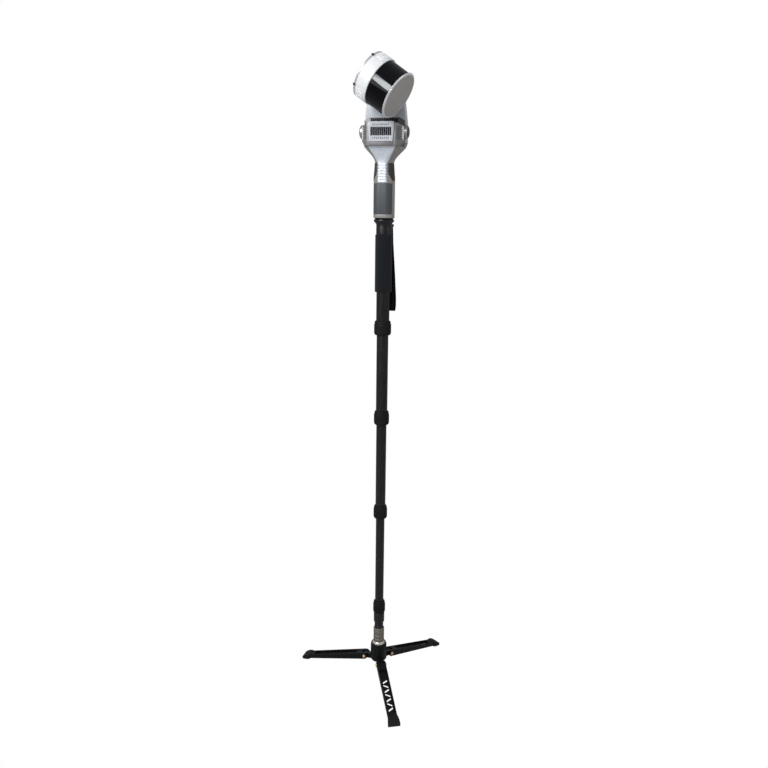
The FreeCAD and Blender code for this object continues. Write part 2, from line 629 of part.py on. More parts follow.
def build_strap():
    """Bar on the neck, and the webbing loop that hangs from it."""
    bar_height = f"({NECK_TOP} - dim.bar_below_neck_top)"
    lug = new_body("strap_lug", plus(NECK, bar_height))
    lug.Placement = strap_placement()
    half = "(dim.strap_width / 2 + dim.move_gap)"
    root = f"(sqrt((dim.neck_dia / 2) ^ 2 - ({half} + dim.lug_plate) ^ 2) - dim.lug_plate)"
    reach = "(dim.bar_reach + dim.bar_dia / 2 + dim.move_gap)"
    for side in (1, -1):
        ear = empty_sketch(lug, "XZ_Plane", f"{side} * ({half} + dim.lug_plate / 2)")
        add_outline(ear, [(root, "-dim.bar_dia"), (reach, "-dim.bar_dia"),
                          (reach, "dim.bar_dia"), (root, "dim.bar_dia")])
        raise_from(lug, ear, "dim.lug_plate", both_ways=True)
    bar = empty_sketch(lug, "XZ_Plane")
    add_circle(bar, "dim.bar_reach", "0", "dim.bar_dia")
    raise_from(lug, bar, f"2 * ({half} + dim.lug_plate / 2)", both_ways=True)
    neck = empty_sketch(lug, "XY_Plane")
    add_circle(neck, "0", "0", "dim.neck_dia + 2 * dim.move_gap")
    cut_from(lug, neck, "4 * dim.neck_length", both_ways=True)
    strap = new_body("wrist_strap", plus(NECK, bar_height))
    strap.Placement = strap_placement()
    eye = "(dim.bar_dia / 2 + dim.move_gap)"
    skin = "dim.strap_thick"
    reach = "dim.bar_reach"
    near = "(dim.foam_dia / 2 + dim.move_gap)"
    length = "dim.strap_length"
    belly = "dim.strap_belly"
    tuck = "dim.strap_inset"
    sleeve_end = f"(-dim.foam_length - dim.neck_gap - {bar_height})"
    outer = [
        (f"({reach} - {eye} - {skin})", f"({eye} * 0.4)"),
        (f"({reach} - {eye} - {skin})", f"(-{eye} - {skin})"),
        (near, f"(-{length} * 0.1)"),
        (near, sleeve_end),
        (f"({near} - {tuck})", f"(-{length} * 0.9)"),
        (f"({near} - {tuck} + {skin})", f"(-{length} * 0.97)"),
        (f"({near} + {belly} * 0.2)", f"(-{length})"),
        (f"({near} + {belly} * 0.8)", f"(-{length})"),
        (f"({near} + {belly} + {skin})", f"(-{length} * 0.95)"),
        (f"({near} + {belly} + 2 * {skin})", f"(-{length} * 0.86)"),
        (f"({near} + {belly} * 0.8 + 2 * {skin})", f"(-{length} * 0.6)"),
        (f"({reach} + {eye} + {skin})", f"(-{length} * 0.2)"),
        (f"({reach} + {eye} + {skin})", f"({eye} * 0.4)"),
        (f"({reach} + {eye} * 0.4)", f"({eye} + {skin})"),
        (f"({reach} - {eye} * 0.4)", f"({eye} + {skin})"),
    ]
    inner = [
        (f"({reach} - {eye})", f"({eye} * 0.3)"),
        (f"({reach} - {eye})", f"(-{eye})"),
        (f"({near} + {skin})", f"(-{length} * 0.1)"),
        (f"({near} + {skin})", f"({sleeve_end} - {skin} / 2)"),
        (f"({near} - {tuck} + {skin})", f"(-{length} * 0.905)"),
        (f"({near} - {tuck} + 1.9 * {skin})", f"(-{length} * 0.96)"),
        (f"({near} + {belly} * 0.25)", f"(-{length} + {skin})"),
        (f"({near} + {belly} * 0.7)", f"(-{length} + {skin})"),
        (f"({near} + {belly})", f"(-{length} * 0.945)"),
        (f"({near} + {belly} + {skin})", f"(-{length} * 0.86)"),
        (f"({near} + {belly} * 0.8 + {skin})", f"(-{length} * 0.6)"),
        (f"({reach} + {eye})", f"(-{length} * 0.2)"),
        (f"({reach} + {eye})", f"({eye} * 0.3)"),
        (f"({reach} + {eye} * 0.3)", eye),
        (f"({reach} - {eye} * 0.3)", eye),
    ]
    loop = empty_sketch(strap, "XZ_Plane")
    add_outline(loop, outer)
    add_outline(loop, inner)
    raise_from(strap, loop, "dim.strap_width", both_ways=True)


# ---------------------------------------------------------------- scanner body
def ease(share):
    """Return a share from 0 to 1 eased at both ends."""
    return share * share * (3 - 2 * share)


def section_wire(half_width, front, back, corner, height):
    """Return a rounded rectangle with its four corners as arcs."""
    ends = [(-half_width, -front), (half_width, -front), (half_width, back), (-half_width, back)]
    centres = [(-half_width + corner, -front + corner), (half_width - corner, -front + corner),
               (half_width - corner, back - corner), (-half_width + corner, back - corner)]
    edges = []
    for index, (centre_x, centre_y) in enumerate(centres):
        centre = FreeCAD.Vector(centre_x, centre_y, height)
        first = math.pi + index * math.pi / 2
        points = [centre + FreeCAD.Vector(corner * math.cos(first + step * math.pi / 4),
                                          corner * math.sin(first + step * math.pi / 4), 0)
                  for step in range(3)]
        edges.append(Part.Arc(*points).toShape())
        last = points[2]
        next_x, next_y = centres[(index + 1) % len(ends)]
        turn = first + math.pi / 2
        start = FreeCAD.Vector(next_x + corner * math.cos(turn), next_y + corner * math.sin(turn), height)
        edges.append(Part.LineSegment(last, start).toShape())
    return Part.Wire(edges)


def handle_form(offset, bottom=0.0, top=None):
    """Return the straight grip and its flare as one solid, with every side moved out by an offset."""
    grip_end = size("grip_length")
    flare = size("flare_length")
    top = size("module_bottom") if top is None else top
    waist = size("waist_start")
    heights = [waist + (grip_end - waist) * step / 4 for step in range(4)]
    heights += [grip_end + flare * step / 8 for step in range(9)]
    heights = [height for height in heights if height < top - 1]
    wires = []
    for height in [bottom] + heights + [top]:
        share = ease(min(max((height - grip_end) / flare, 0.0), 1.0))
        narrow = size("grip_waist") * ease(min(max((height - waist) / (grip_end - waist), 0.0), 1.0))
        half_width = (size("grip_width") / 2 - narrow) * (1 - share) + size("shoulder_width") / 2 * share
        front = size("grip_depth") / 2 * (1 - share) + size("shoulder_front") * share
        back = size("grip_depth") / 2 * (1 - share) + size("shoulder_back") * share
        corner = size("grip_corner") * (1 - share) + size("shoulder_corner") * share
        wires.append(section_wire(half_width + offset, front + offset, back + offset, corner + offset, height))
    if top <= waist:
        return Part.Face(wires[0]).extrude(FreeCAD.Vector(0, 0, top - bottom))
    grip = Part.Face(wires[0]).extrude(FreeCAD.Vector(0, 0, waist - bottom))
    return grip.fuse(Part.makeLoft(wires[1:], True, True))


def slab(low_x, high_x, low_y, high_y, low_z, high_z):
    """Return a box from its corners."""
    return Part.makeBox(high_x - low_x, high_y - low_y, high_z - low_z, FreeCAD.Vector(low_x, low_y, low_z))


def front_prism(corners, low_y, high_y):
    """Return a prism along Y whose front view is a closed outline of (x, z) corners."""
    points = [FreeCAD.Vector(across, low_y, height) for across, height in corners]
    face = Part.Face(Part.makePolygon(points + points[:1]))
    return face.extrude(FreeCAD.Vector(0, high_y - low_y, 0))


def rounded_corners(half_width, low, high, radius):
    """Return the outline of a rounded rectangle centred on x = 0."""
    outline = []
    centres = [(half_width - radius, high - radius, 0), (-half_width + radius, high - radius, 90),
               (-half_width + radius, low + radius, 180), (half_width - radius, low + radius, 270)]
    for centre_x, centre_z, start in centres:
        for step in range(5):
            turn = math.radians(start + step * 22.5)
            outline.append((centre_x + radius * math.cos(turn), centre_z + radius * math.sin(turn)))
    return outline


def scanner_feature(name, shape):
    """Keep a shape built in the scanner's own frame, standing on the scanner's base."""
    feature = doc.addObject("Part::Feature", name)
    feature.Shape = shape
    feature.setExpression("Placement.Base.x", POLE_X)
    feature.setExpression("Placement.Base.y", POLE_Y)
    feature.setExpression("Placement.Base.z", SCANNER)
    return keep(feature, name)


def column_form(inset, low, front_y, back_y):
    """Return the upright column: sides that lean in above its waist, to a round top about the head's axis."""
    foot, side = size("foot_half") - inset, size("shoulder_width") / 2 - inset
    knee = size("module_bottom") + size("foot_rise")
    waist = size("waist_half") - inset
    half = size("column_half") - inset
    axis, bend = size("head_height"), size("waist_height")
    right_side = [FreeCAD.Vector(across, front_y, height)
                  for across, height in ((foot, low), (side, knee), (waist, bend), (half, axis))]
    left_side = [FreeCAD.Vector(-point.x, point.y, point.z) for point in reversed(right_side)]
    crown = FreeCAD.Vector(0, front_y, axis + half)
    edges = [Part.Arc(right_side[-1], crown, left_side[0]).toShape()]
    outline = left_side + right_side
    edges += [Part.LineSegment(start, end).toShape() for start, end in zip(outline, outline[1:])]
    solid = Part.Face(Part.Wire(Part.__sortEdges__(edges))).extrude(FreeCAD.Vector(0, back_y - front_y, 0))
    bends = [rim for rim in solid.Edges
             if abs(rim.BoundBox.ZMin - bend) < 0.01 and abs(rim.BoundBox.ZMax - bend) < 0.01]
    solid = solid.makeFillet(size("waist_round"), bends)
    edge = size("column_edge") - min(inset, size("column_edge") / 2)
    rims = [rim for rim in solid.Edges
            if rim.BoundBox.YMin > back_y - 0.01 and rim.BoundBox.ZMax > low + 1]
    return solid.makeFillet(edge, rims)


def front_pad_region(grow):
    """Return the region of the front rubber panel, grown by a clearance."""
    low, high = size("front_pad_low") - grow, size("front_pad_high") + grow
    outline = rounded_corners(size("front_pad_half") + grow, low, high, size("pad_corner") + grow)
    return front_prism(outline, -size("grip_depth"), -size("split_depth") - size("shell_wall") + grow)


def side_pad_regions(grow):
    """Return the regions of the two side inserts, grown by a clearance."""
    inside = size("side_pad_in") - grow
    outside = size("shoulder_width")
    low, high = size("side_pad_low") - grow, size("side_pad_high") + grow
    sweep, rise = size("side_pad_sweep"), size("side_pad_rise")
    outline = [(outside, low - rise / 4), (outside, high), (inside, high)]
    for step in range(7):
        share = step / 6
        outline.append((inside + sweep * share, low + rise * (1 - share) ** 1.8))
    right = front_prism(outline, -size("grip_depth"), size("side_pad_back") + grow)
    left = right.mirror(FreeCAD.Vector(), FreeCAD.Vector(1, 0, 0))
    return right, left


def skin(outward, inward):
    """Return a layer of the grip between two offsets of its outer form."""
    tall = size("module_bottom") + 1
    return handle_form(outward, -1.0, tall).cut(handle_form(inward, -2.0, tall + 1))


def button_hole(diameter):
    """Return the power button's axis as a cylinder through the rear wall of the grip."""
    start = FreeCAD.Vector(0, 0, size("button_height"))
    return Part.makeCylinder(diameter / 2, size("grip_depth"), start, FreeCAD.Vector(0, 1, 0))


def build_shells():
    """Front and rear shells of the grip and column, with their rubber inserts and end cap."""
    wall = size("shell_wall")
    split = -size("split_depth")
    wide = size("shoulder_width")
    bottom = size("module_bottom")
    sink, proud, gap = size("pad_sink"), size("pad_proud"), size("fit_gap")
    pads_layer = skin(proud + 1, -sink - gap)
    right_pad, left_pad = side_pad_regions(gap)
    recesses = pads_layer.common(Part.makeCompound([front_pad_region(gap), right_pad, left_pad]))
    hollow = handle_form(-wall, -1.0, bottom + 1)
    grip = handle_form(0.0).cut(hollow).cut(recesses)
    front = grip.common(slab(-wide, wide, -wide, split, 0, bottom))
    scanner_feature("front_housing", front)

    back = size("shoulder_back")
    shoulder = size("grip_length") + size("flare_length")
    rear_form = handle_form(0.0, 0.0, shoulder).common(slab(-wide, wide, split, wide, 0, shoulder))
    column = column_form(0.0, bottom, split, back)
    column_hollow = column_form(wall, bottom - 1, split + wall, back - wall)
    behind = slab(-wide, wide, split - 1, back - wall, -1, shoulder)
    cavity = handle_form(-wall, -1.0, shoulder).common(behind)
    rear = rear_form.fuse(column).removeSplitter().cut(cavity).cut(column_hollow)
    axis = FreeCAD.Vector(0, split - 1, size("head_height"))
    port = Part.makeCylinder(size("bearing_dia") / 2 + gap, wall + 2, axis, FreeCAD.Vector(0, 1, 0))
    rear = rear.cut(port).cut(recesses).cut(button_hole(size("button_dia") + 2 * size("move_gap")))
    scanner_feature("rear_housing", rear)

    scanner_feature("grip_panel", skin(proud, -sink).common(front_pad_region(0.0)))
    right_pad, left_pad = side_pad_regions(0.0)
    inserts = [skin(proud, -sink).common(region) for region in (right_pad, left_pad)]
    scanner_feature("grip_inserts", Part.makeCompound([piece.Solids[0] for piece in inserts]))

    plate = handle_form(-wall - gap, 0.0, bottom).common(slab(-wide, wide, -wide, wide, 0, size("cap_plate")))
    stud = Part.makeCylinder(size("stud_dia") / 2 + gap, size("cap_plate") + 2, FreeCAD.Vector(0, 0, -1))
    boss = Part.makeCylinder(size("stud_dia"), size("stud_up"), FreeCAD.Vector(0, 0, size("cap_plate") / 2))
    scanner_feature("base_cap", plate.fuse(boss).removeSplitter().cut(stud).cut(
        Part.makeCylinder(size("stud_dia") / 2 + gap, size("stud_up") + 1)))


def vee_outline():
    """Return the silver front piece's outline: a wedge with hollow sides over a notched strip."""
    strip = size("spine_half")
    low, bend, high = size("spine_bottom"), size("vee_bottom"), size("module_bottom")
    right = []
    for step in range(9):
        share = step / 8
        right.append((strip + (size("vee_half") - strip) * share ** 1.05, bend + (high - bend) * share))
    notches = []
    for step in range(int(size("notch_count"))):
        middle = bend - (step + 0.8) * size("notch_pitch")
        tall, deep = size("notch_tall") / 2, size("notch_deep")
        notches = [(strip, middle - tall), (strip - deep, middle - tall / 3),
                   (strip - deep, middle + tall / 3), (strip, middle + tall)] + notches
    right = [(strip, low)] + notches + right
    return right + [(-across, height) for across, height in reversed(right)]


def build_front_spine():
    """Silver wedge and notched strip lying on the front shell."""
    layer = skin(size("spine_rise"), size("fit_gap") / 2)
    region = front_prism(vee_outline(), -size("grip_depth") * 2, -size("grip_corner"))
    spine = layer.common(region)
    scanner_feature("front_spine", spine)


def scanner_body(name, height="0"):
    """Start a sub-part in the scanner's own frame."""
    return new_body(name, plus(SCANNER, height))


def module_outline(inset, back):
    """Return the front module's plan: a block with two chamfered front corners."""
    side = f"(dim.module_half - {inset})"
    face = f"(dim.module_face_half - {inset} * 0.4)"
    front = f"(-dim.module_front + {inset})"
    shoulder = f"(-dim.module_side_front + {inset} * 0.4)"
    return [(f"-{side}", back), (f"-{side}", shoulder), (f"-{face}", front),
            (face, front), (side, shoulder), (side, back)]


def build_module():
    """Chamfered front module with cooling grooves, its band, grille and board."""
    body = scanner_body("module_frame")
    plan = empty_sketch(body, "XY_Plane", "dim.module_bottom")
    add_outline(plan, module_outline("0", "-dim.split_depth"))
    raise_from(body, plan, "dim.module_top - dim.module_bottom")
    inside = empty_sketch(body, "XY_Plane", "dim.keel_top + dim.module_wall / 2")
    add_outline(inside, module_outline("dim.module_wall", "dim.split_depth"))
    cut_from(body, inside, "dim.module_top - dim.keel_top - 1.5 * dim.module_wall", reverse=True)
    keel = empty_sketch(body, "XY_Plane", "dim.module_bottom + dim.module_wall")
    half = "(dim.keel_half - dim.module_wall)"
    front = "(-dim.module_front + dim.module_wall)"
    narrow = "(dim.module_face_half - dim.module_wall)"
    add_outline(keel, [(f"-{half}", "dim.split_depth"), (f"-{half}", "-dim.module_side_front"),
                       (f"-{narrow}", front), (narrow, front),
                       (half, "-dim.module_side_front"), (half, "dim.split_depth")])
    cut_from(body, keel, "dim.keel_top - dim.module_bottom", reverse=True)
    corners = empty_sketch(body, "XZ_Plane")
    crown = empty_sketch(body, "XZ_Plane", "dim.split_depth + dim.sink_rear_depth + dim.move_gap")
    clear = "dim.corner_clear"
    lean = "((dim.module_half - dim.keel_half) / (dim.keel_top - dim.module_bottom))"
    fall = "(dim.crown_drop / (dim.module_half - dim.crown_half))"
    for side in ("", "-"):
        add_outline(corners, [
            (f"{side}(dim.keel_half - {clear} * {lean})", f"(dim.module_bottom - {clear})"),
            (f"{side}(dim.module_half + {clear})", f"(dim.module_bottom - {clear})"),
            (f"{side}(dim.module_half + {clear})", f"(dim.keel_top + {clear} / {lean})"),
        ])
        add_outline(crown, [
            (f"{side}(dim.crown_half - {clear})", f"(dim.module_top + {clear} * {fall})"),
            (f"{side}(dim.module_half + {clear})", f"(dim.module_top + {clear} * {fall})"),
            (f"{side}(dim.module_half + {clear})", f"(dim.module_top - dim.crown_drop - {clear} * {fall})"),
        ])
    cut_from(body, corners, "4 * dim.module_front", both_ways=True)
    cut_from(body, crown, "2 * dim.module_front", reverse=True)
    window = empty_sketch(body, "XZ_Plane")
    half = "(dim.grille_bottom_half - dim.module_wall)"
    add_outline(window, [(f"-{half}", "dim.slit_low"), (half, "dim.slit_low"),
                         (half, "(dim.slit_high + dim.slit_height)"),
                         (f"-{half}", "(dim.slit_high + dim.slit_height)")])
    cut_from(body, window, "2 * dim.module_front", both_ways=True)
    groove = empty_sketch(body, "XY_Plane", "dim.fin_bottom")
    lean = "((dim.module_half - dim.module_face_half) / (dim.module_front - dim.module_side_front))"
    behind = f"(dim.fin_depth * sqrt(1 + 1 / {lean} ^ 2))"
    past = "dim.fin_depth"
    add_outline(groove, [
        ("(dim.module_face_half + dim.fin_start)", "-dim.module_front"),
        (f"(dim.module_half + {past})", "(-dim.module_side_front - 1)"),
        (f"(dim.module_half + {past})", f"(-dim.module_side_front + {past} / {lean} + {behind})"),
        (f"(dim.module_face_half + dim.fin_start + {past})",
         f"(-dim.module_front + (dim.fin_start + {past}) / {lean} + {behind})"),
    ])
    cuts = []
    for step in range(int(size("fin_count"))):
        level = groove
        if step:
            level = doc.copyObject(groove)
            body.addObject(level)
        level.setExpression("AttachmentOffset.Base.z", f"dim.fin_bottom + {step} * dim.fin_pitch")
        cuts.append(cut_from(body, level, "dim.fin_gap", reverse=True))
    mirror(body, cuts, "YZ_Plane")
    hole = empty_sketch(body, "YZ_Plane")
    add_circle(hole, "-dim.camera_depth", "dim.camera_height", "dim.camera_bore")
    cut_from(body, hole, "4 * dim.module_half", both_ways=True)

    band = scanner_body("trim_band")
    face = empty_sketch(band, "XZ_Plane", "dim.module_front")
    add_outline(face, [("-dim.band_half", "dim.module_bottom"), ("dim.band_half", "dim.module_bottom"),
                       ("dim.band_half", "dim.band_top"), ("-dim.band_half", "dim.band_top")])
    raise_from(band, face, "dim.band_thick")
    build_grille()
    board = scanner_body("main_board")
    half = "(dim.module_half - dim.module_wall - dim.move_gap)"
    low = "(dim.keel_top + dim.module_wall / 2 + dim.move_gap)"
    high = "(dim.module_top - dim.module_wall - dim.move_gap)"
    sheet_face = empty_sketch(board, "XZ_Plane", "dim.board_depth")
    add_outline(sheet_face, [(f"-{half}", low), (half, low), (half, high), (f"-{half}", high)])
    raise_from(board, sheet_face, "dim.board_thick")


def build_grille():
    """Silver front grille: tall slots between two rows of short slits."""
    body = scanner_body("front_grille")
    face = empty_sketch(body, "XZ_Plane", "dim.module_front")
    add_outline(face, [("-dim.grille_bottom_half", "dim.band_top"), ("dim.grille_bottom_half", "dim.band_top"),
                       ("dim.grille_top_half", "dim.grille_top"), ("-dim.grille_top_half", "dim.grille_top")])
    raise_from(body, face, "dim.grille_thick")
    rows = (("bar_slot", "dim.bar_slot_bottom", "dim.bar_slot_top"),
            ("slit", "dim.slit_low", "(dim.slit_low + dim.slit_height)"),
            ("slit", "dim.slit_high", "(dim.slit_high + dim.slit_height)"))
    slots = empty_sketch(body, "XZ_Plane", "dim.module_front")
    for kind, low, high in rows:
        count = int(size(f"{kind}_count"))
        for step in range(count):
            middle = f"({step - (count - 1) / 2} * dim.{kind}_pitch)"
            half = f"dim.{kind}_width / 2"
            add_outline(slots, [(f"({middle} - {half})", low), (f"({middle} + {half})", low),
                                (f"({middle} + {half})", high), (f"({middle} - {half})", high)])
    cut_from(body, slots, "4 * dim.grille_thick", both_ways=True)


def build_heat_sink():
    """Black cooler on the module: a slab, upright fins that rise at the rear, and two side cheeks."""
    body = scanner_body("heat_sink")
    back = "-dim.split_depth"
    front = "(-dim.module_front + dim.module_wall)"
    slab_plan = empty_sketch(body, "XY_Plane", "dim.module_top")
    half = "dim.module_face_half"
    add_outline(slab_plan, [(f"-{half}", back), (f"-{half}", front), (half, front), (half, back)])
    raise_from(body, slab_plan, "dim.sink_slab")
    comb = empty_sketch(body, "XZ_Plane", "dim.split_depth")
    count = int(size("sink_count"))
    fin = "dim.sink_fin / 2"
    for step in range(count):
        middle = f"({step - (count - 1) / 2} * dim.sink_pitch)"
        add_outline(comb, [(f"({middle} - {fin})", "dim.module_top"),
                           (f"({middle} + {fin})", "dim.module_top"),
                           (f"({middle} + {fin})", "dim.sink_rear_top"),
                           (f"({middle} - {fin})", "dim.sink_rear_top")])
    raise_from(body, comb, "dim.sink_rear_depth")
    cheek = empty_sketch(body, "XZ_Plane", "dim.split_depth")
    for side in ("", "-"):
        add_outline(cheek, [(f"{side}(dim.module_face_half - dim.sink_fin)", "dim.module_top"),
                            (f"{side}(dim.cheek_out - dim.sink_fin)", "dim.module_top"),
                            (f"{side}dim.cheek_out", "(dim.sink_rear_top - dim.cheek_drop)"),
                            (f"{side}dim.cheek_in", "dim.sink_rear_top"),
                            (f"{side}(dim.module_face_half - dim.sink_fin)", "dim.sink_rear_top")])
    raise_from(body, cheek, "dim.sink_rear_depth")
    for step in range(int(size("cheek_cut_count"))):
        groove = empty_sketch(body, "XZ_Plane",
                              f"dim.split_depth + dim.sink_fin + {step} * dim.cheek_cut_pitch")
        for side in ("", "-"):
            add_outline(groove, [(f"{side}(dim.cheek_in - dim.cheek_cut_deep)", "(dim.sink_rear_top + 1)"),
                                 (f"{side}(dim.cheek_out + 1)", "(dim.sink_rear_top + 1)"),
                                 (f"{side}(dim.cheek_out + 1)",
                                  "(dim.sink_rear_top - dim.cheek_drop - dim.cheek_cut_deep)")])
        cut_from(body, groove, "dim.cheek_cut", reverse=True)


def side_axis_placement(forward, height):
    """Return the placement whose local Z points to the scanner's right, from its middle plane."""
    rotation = FreeCAD.Rotation(FreeCAD.Vector(0, 1, 0), 90)
    return FreeCAD.Placement(FreeCAD.Vector(0, -forward, height), rotation)


def place_in_scanner(body, placement):
    """Put a sub-part at a placement given in the scanner's own frame."""
    base = doc.getObject("front_housing").Placement
    for path in ("x", "y", "z"):
        body.setExpression(f"Placement.Base.{path}", None)
    body.Placement = base.multiply(placement)


def build_cameras():
    """Two fisheye cameras, one on each side of the module."""
    place = side_axis_placement(size("camera_depth"), size("camera_height"))
    start = "(dim.module_half + dim.camera_gap)"
    barrels = new_body("camera_barrels")
    spin(barrels, [
        ("0", start),
        ("dim.camera_dia / 2", start),
        ("dim.camera_dia / 2", "(dim.camera_reach - dim.camera_lip)"),
        ("(dim.camera_dia / 2 - dim.camera_lip)", "dim.camera_reach"),
        ("dim.lens_dia / 2", "dim.camera_reach"),
        ("dim.lens_dia / 2", "(dim.camera_reach - dim.camera_lip)"),
        ("0", "(dim.camera_reach - dim.camera_lip)"),
    ])
    mirror(barrels, [barrels.Tip], "XY_Plane")
    place_in_scanner(barrels, place)
    lenses = new_body("camera_lenses")
    rim = "(dim.lens_dia / 2 - dim.fit_gap)"
    floor = "(dim.camera_reach - dim.camera_lip)"
    profile = [("0", floor), (rim, floor), (rim, "dim.camera_reach")]
    for step in (1, 2, 3, 4):
        turn = f"{step * 18} deg"
        profile.append((f"({rim} * cos({turn}))", f"(dim.camera_reach + dim.lens_dome * sin({turn}))"))
    profile.append(("0", "(dim.camera_reach + dim.lens_dome)"))
    spin(lenses, profile)
    mirror(lenses, [lenses.Tip], "XY_Plane")
    place_in_scanner(lenses, place)


def build_inside():
    """Battery in the grip, and the power button in its rear wall."""
    wall = size("shell_wall") + size("move_gap")
    low = size("cap_plate") + size("stud_up")
    pack = handle_form(-wall, 0.0).common(slab(-99, 99, -99, 99, low, low + size("battery_length")))
    scanner_feature("battery_pack", pack)
    back = size("grip_depth") / 2
    inner = back - size("shell_wall") - size("move_gap")
    along = FreeCAD.Vector(0, 1, 0)
    height = size("button_height")
    flange = Part.makeCylinder(size("button_dia") / 2 + 1, size("button_flange"),
                               FreeCAD.Vector(0, inner - size("button_flange"), height), along)
    start = inner - size("button_flange") / 2
    plunger = Part.makeCylinder(size("button_dia") / 2, back + size("button_proud") - start,
                                FreeCAD.Vector(0, start, height), along)
    scanner_feature("power_button", flange.fuse(plunger).removeSplitter())


# ---------------------------------------------------------------- turning head
def build_head_drive():
    """Motor, bearing and shaft in the column; local Z points forward along the head's axis."""
    forward = FreeCAD.Placement(FreeCAD.Vector(0, 0, size("head_height")),
                                FreeCAD.Rotation(FreeCAD.Vector(1, 0, 0), 90))
    face = "dim.split_depth"
    bearing_back = "(dim.split_depth - dim.bearing_thick)"
    bearing = new_body("head_bearing")
    spin(bearing, [("(dim.shaft_dia / 2 + dim.pin_gap)", bearing_back), ("dim.bearing_dia / 2", bearing_back),
                   ("dim.bearing_dia / 2", face), ("(dim.shaft_dia / 2 + dim.pin_gap)", face)])
    place_in_scanner(bearing, forward)
    motor = new_body("head_motor")
    motor_front = f"({bearing_back} - dim.fit_gap)"
    motor_back = "(-dim.shoulder_back + dim.shell_wall + dim.move_gap)"
    bore = "(dim.shaft_dia / 2 + dim.move_gap)"
    depth = "(-dim.shaft_back - dim.move_gap)"
    spin(motor, [("0", motor_back), ("dim.motor_dia / 2", motor_back), ("dim.motor_dia / 2", motor_front),
                 (bore, motor_front), (bore, depth), ("0", depth)])
    place_in_scanner(motor, forward)
    shaft = new_body("head_shaft")
    disc_back = "(dim.split_depth + dim.move_gap)"
    disc_front = "(dim.split_depth + dim.move_gap + dim.disc_thick)"
    radius = "(dim.disc_dia / 2)"
    spin(shaft, [("0", "-dim.shaft_back"), ("dim.shaft_dia / 2", "-dim.shaft_back"),
                 ("dim.shaft_dia / 2", disc_back), (radius, disc_back),
                 (radius, f"({disc_front} - dim.cap_edge)"), (f"({radius} - dim.cap_edge)", disc_front),
                 ("0", disc_front)])
    place_in_scanner(shaft, forward)


def sensor_placement():
    """Return the sensor's placement: local Z runs to its cap, local Y towards the column."""
    dip, lead = math.radians(size("sensor_dip")), math.radians(size("sensor_lead"))
    axis = FreeCAD.Vector(math.cos(lead) * math.cos(dip), -math.sin(lead), -math.cos(lead) * math.sin(dip))
    rearward = FreeCAD.Vector(0, 1, 0)
    rearward = (rearward - axis * rearward.dot(axis)).normalize()
    across = rearward.cross(axis)
    rotation = FreeCAD.Rotation(across, rearward, axis, "ZYX")
    return FreeCAD.Placement(FreeCAD.Vector(0, -size("sensor_forward"), size("head_height")), rotation)


WINDOW_TOP = "(dim.cap_reach - dim.cap_thick)"
WINDOW_LOW = "(dim.cap_reach - dim.cap_thick - dim.window_length)"
BASE_LOW = "(dim.cap_reach - dim.cap_thick - dim.window_length - dim.base_length)"


def build_sensor():
    """Laser sensor on its bracket: base with cooling grooves, window, cap, rotor and spindle."""
    place = sensor_placement()
    base = new_body("sensor_base")
    outer = "(dim.sensor_dia / 2)"
    hollow = "(dim.sensor_dia / 2 - dim.base_wall)"
    floor = f"({WINDOW_LOW} - dim.base_floor)"
    spin(base, [(hollow, BASE_LOW), (f"({outer} - dim.cap_edge)", BASE_LOW),
                (outer, f"({BASE_LOW} + dim.cap_edge)"), (outer, f"({WINDOW_LOW} - dim.cap_edge)"),
                (f"({outer} - dim.cap_edge)", WINDOW_LOW), ("0", WINDOW_LOW), ("0", floor), (hollow, floor)])
    cuts = []
    count = int(size("cooling_count"))
    for quarter, lean in ((0, "+"), (180, "-"), (180, "+"), (360, "-")):
        for step in range(count):
            shift = f"{step - (count - 1) / 2} * dim.cooling_step"
            turn = f"(({quarter} {lean} dim.cooling_turn + {shift}) * 1 deg)"
            groove = empty_sketch(base, "XY_Plane", f"{BASE_LOW} + dim.cap_edge")
            corners = []
            for radius, side in ((f"({outer} + 1)", 1), (f"({outer} + 1)", -1),
                                 (f"({outer} - dim.cooling_deep)", -1), (f"({outer} - dim.cooling_deep)", 1)):
                corners.append((f"({radius} * cos({turn}) - {side} * dim.cooling_width / 2 * sin({turn}))",
                                f"({radius} * sin({turn}) + {side} * dim.cooling_width / 2 * cos({turn}))"))
            add_outline(groove, corners)
            cuts.append(cut_from(base, groove, "dim.cooling_length", reverse=True))
    place_in_scanner(base, place)

    window = new_body("sensor_window")
    glass = "(dim.window_dia / 2)"
    spin(window, [(f"({glass} - dim.window_wall)", WINDOW_LOW), (glass, WINDOW_LOW),
                  (glass, WINDOW_TOP), (f"({glass} - dim.window_wall)", WINDOW_TOP)])
    place_in_scanner(window, place)
    cap = new_body("sensor_cap")
    lid = "(dim.cap_dia / 2)"
    spin(cap, [("0", WINDOW_TOP), (f"({lid} - dim.cap_edge / 2)", WINDOW_TOP),
               (lid, f"({WINDOW_TOP} + dim.cap_edge / 2)"), (lid, "(dim.cap_reach - dim.cap_edge)"),
               (f"({lid} - dim.cap_edge)", "dim.cap_reach"), ("0", "dim.cap_reach")])
    place_in_scanner(cap, place)
    build_rotor(place)
    build_ring_at("sensor_spindle", "0", "dim.spindle_dia / 2", WINDOW_LOW, WINDOW_TOP, place)
    build_bracket(place)


def build_rotor(place):
    """Drum that spins on the spindle: a hub, a web and a rim."""
    body = new_body("sensor_rotor")
    low, high = f"({WINDOW_LOW} + dim.rotor_gap)", f"({WINDOW_TOP} - dim.rotor_gap)"
    bore, hub = "(dim.spindle_dia / 2 + dim.pin_gap)", "dim.spindle_dia"
    rim, drum = "(dim.rotor_dia / 2)", "(dim.rotor_dia / 2 - dim.window_wall)"
    web = f"({low} + dim.window_wall)"
    spin(body, [(bore, low), (rim, low), (rim, high), (drum, high),
                (drum, web), (hub, web), (hub, high), (bore, high)])
    place_in_scanner(body, place)


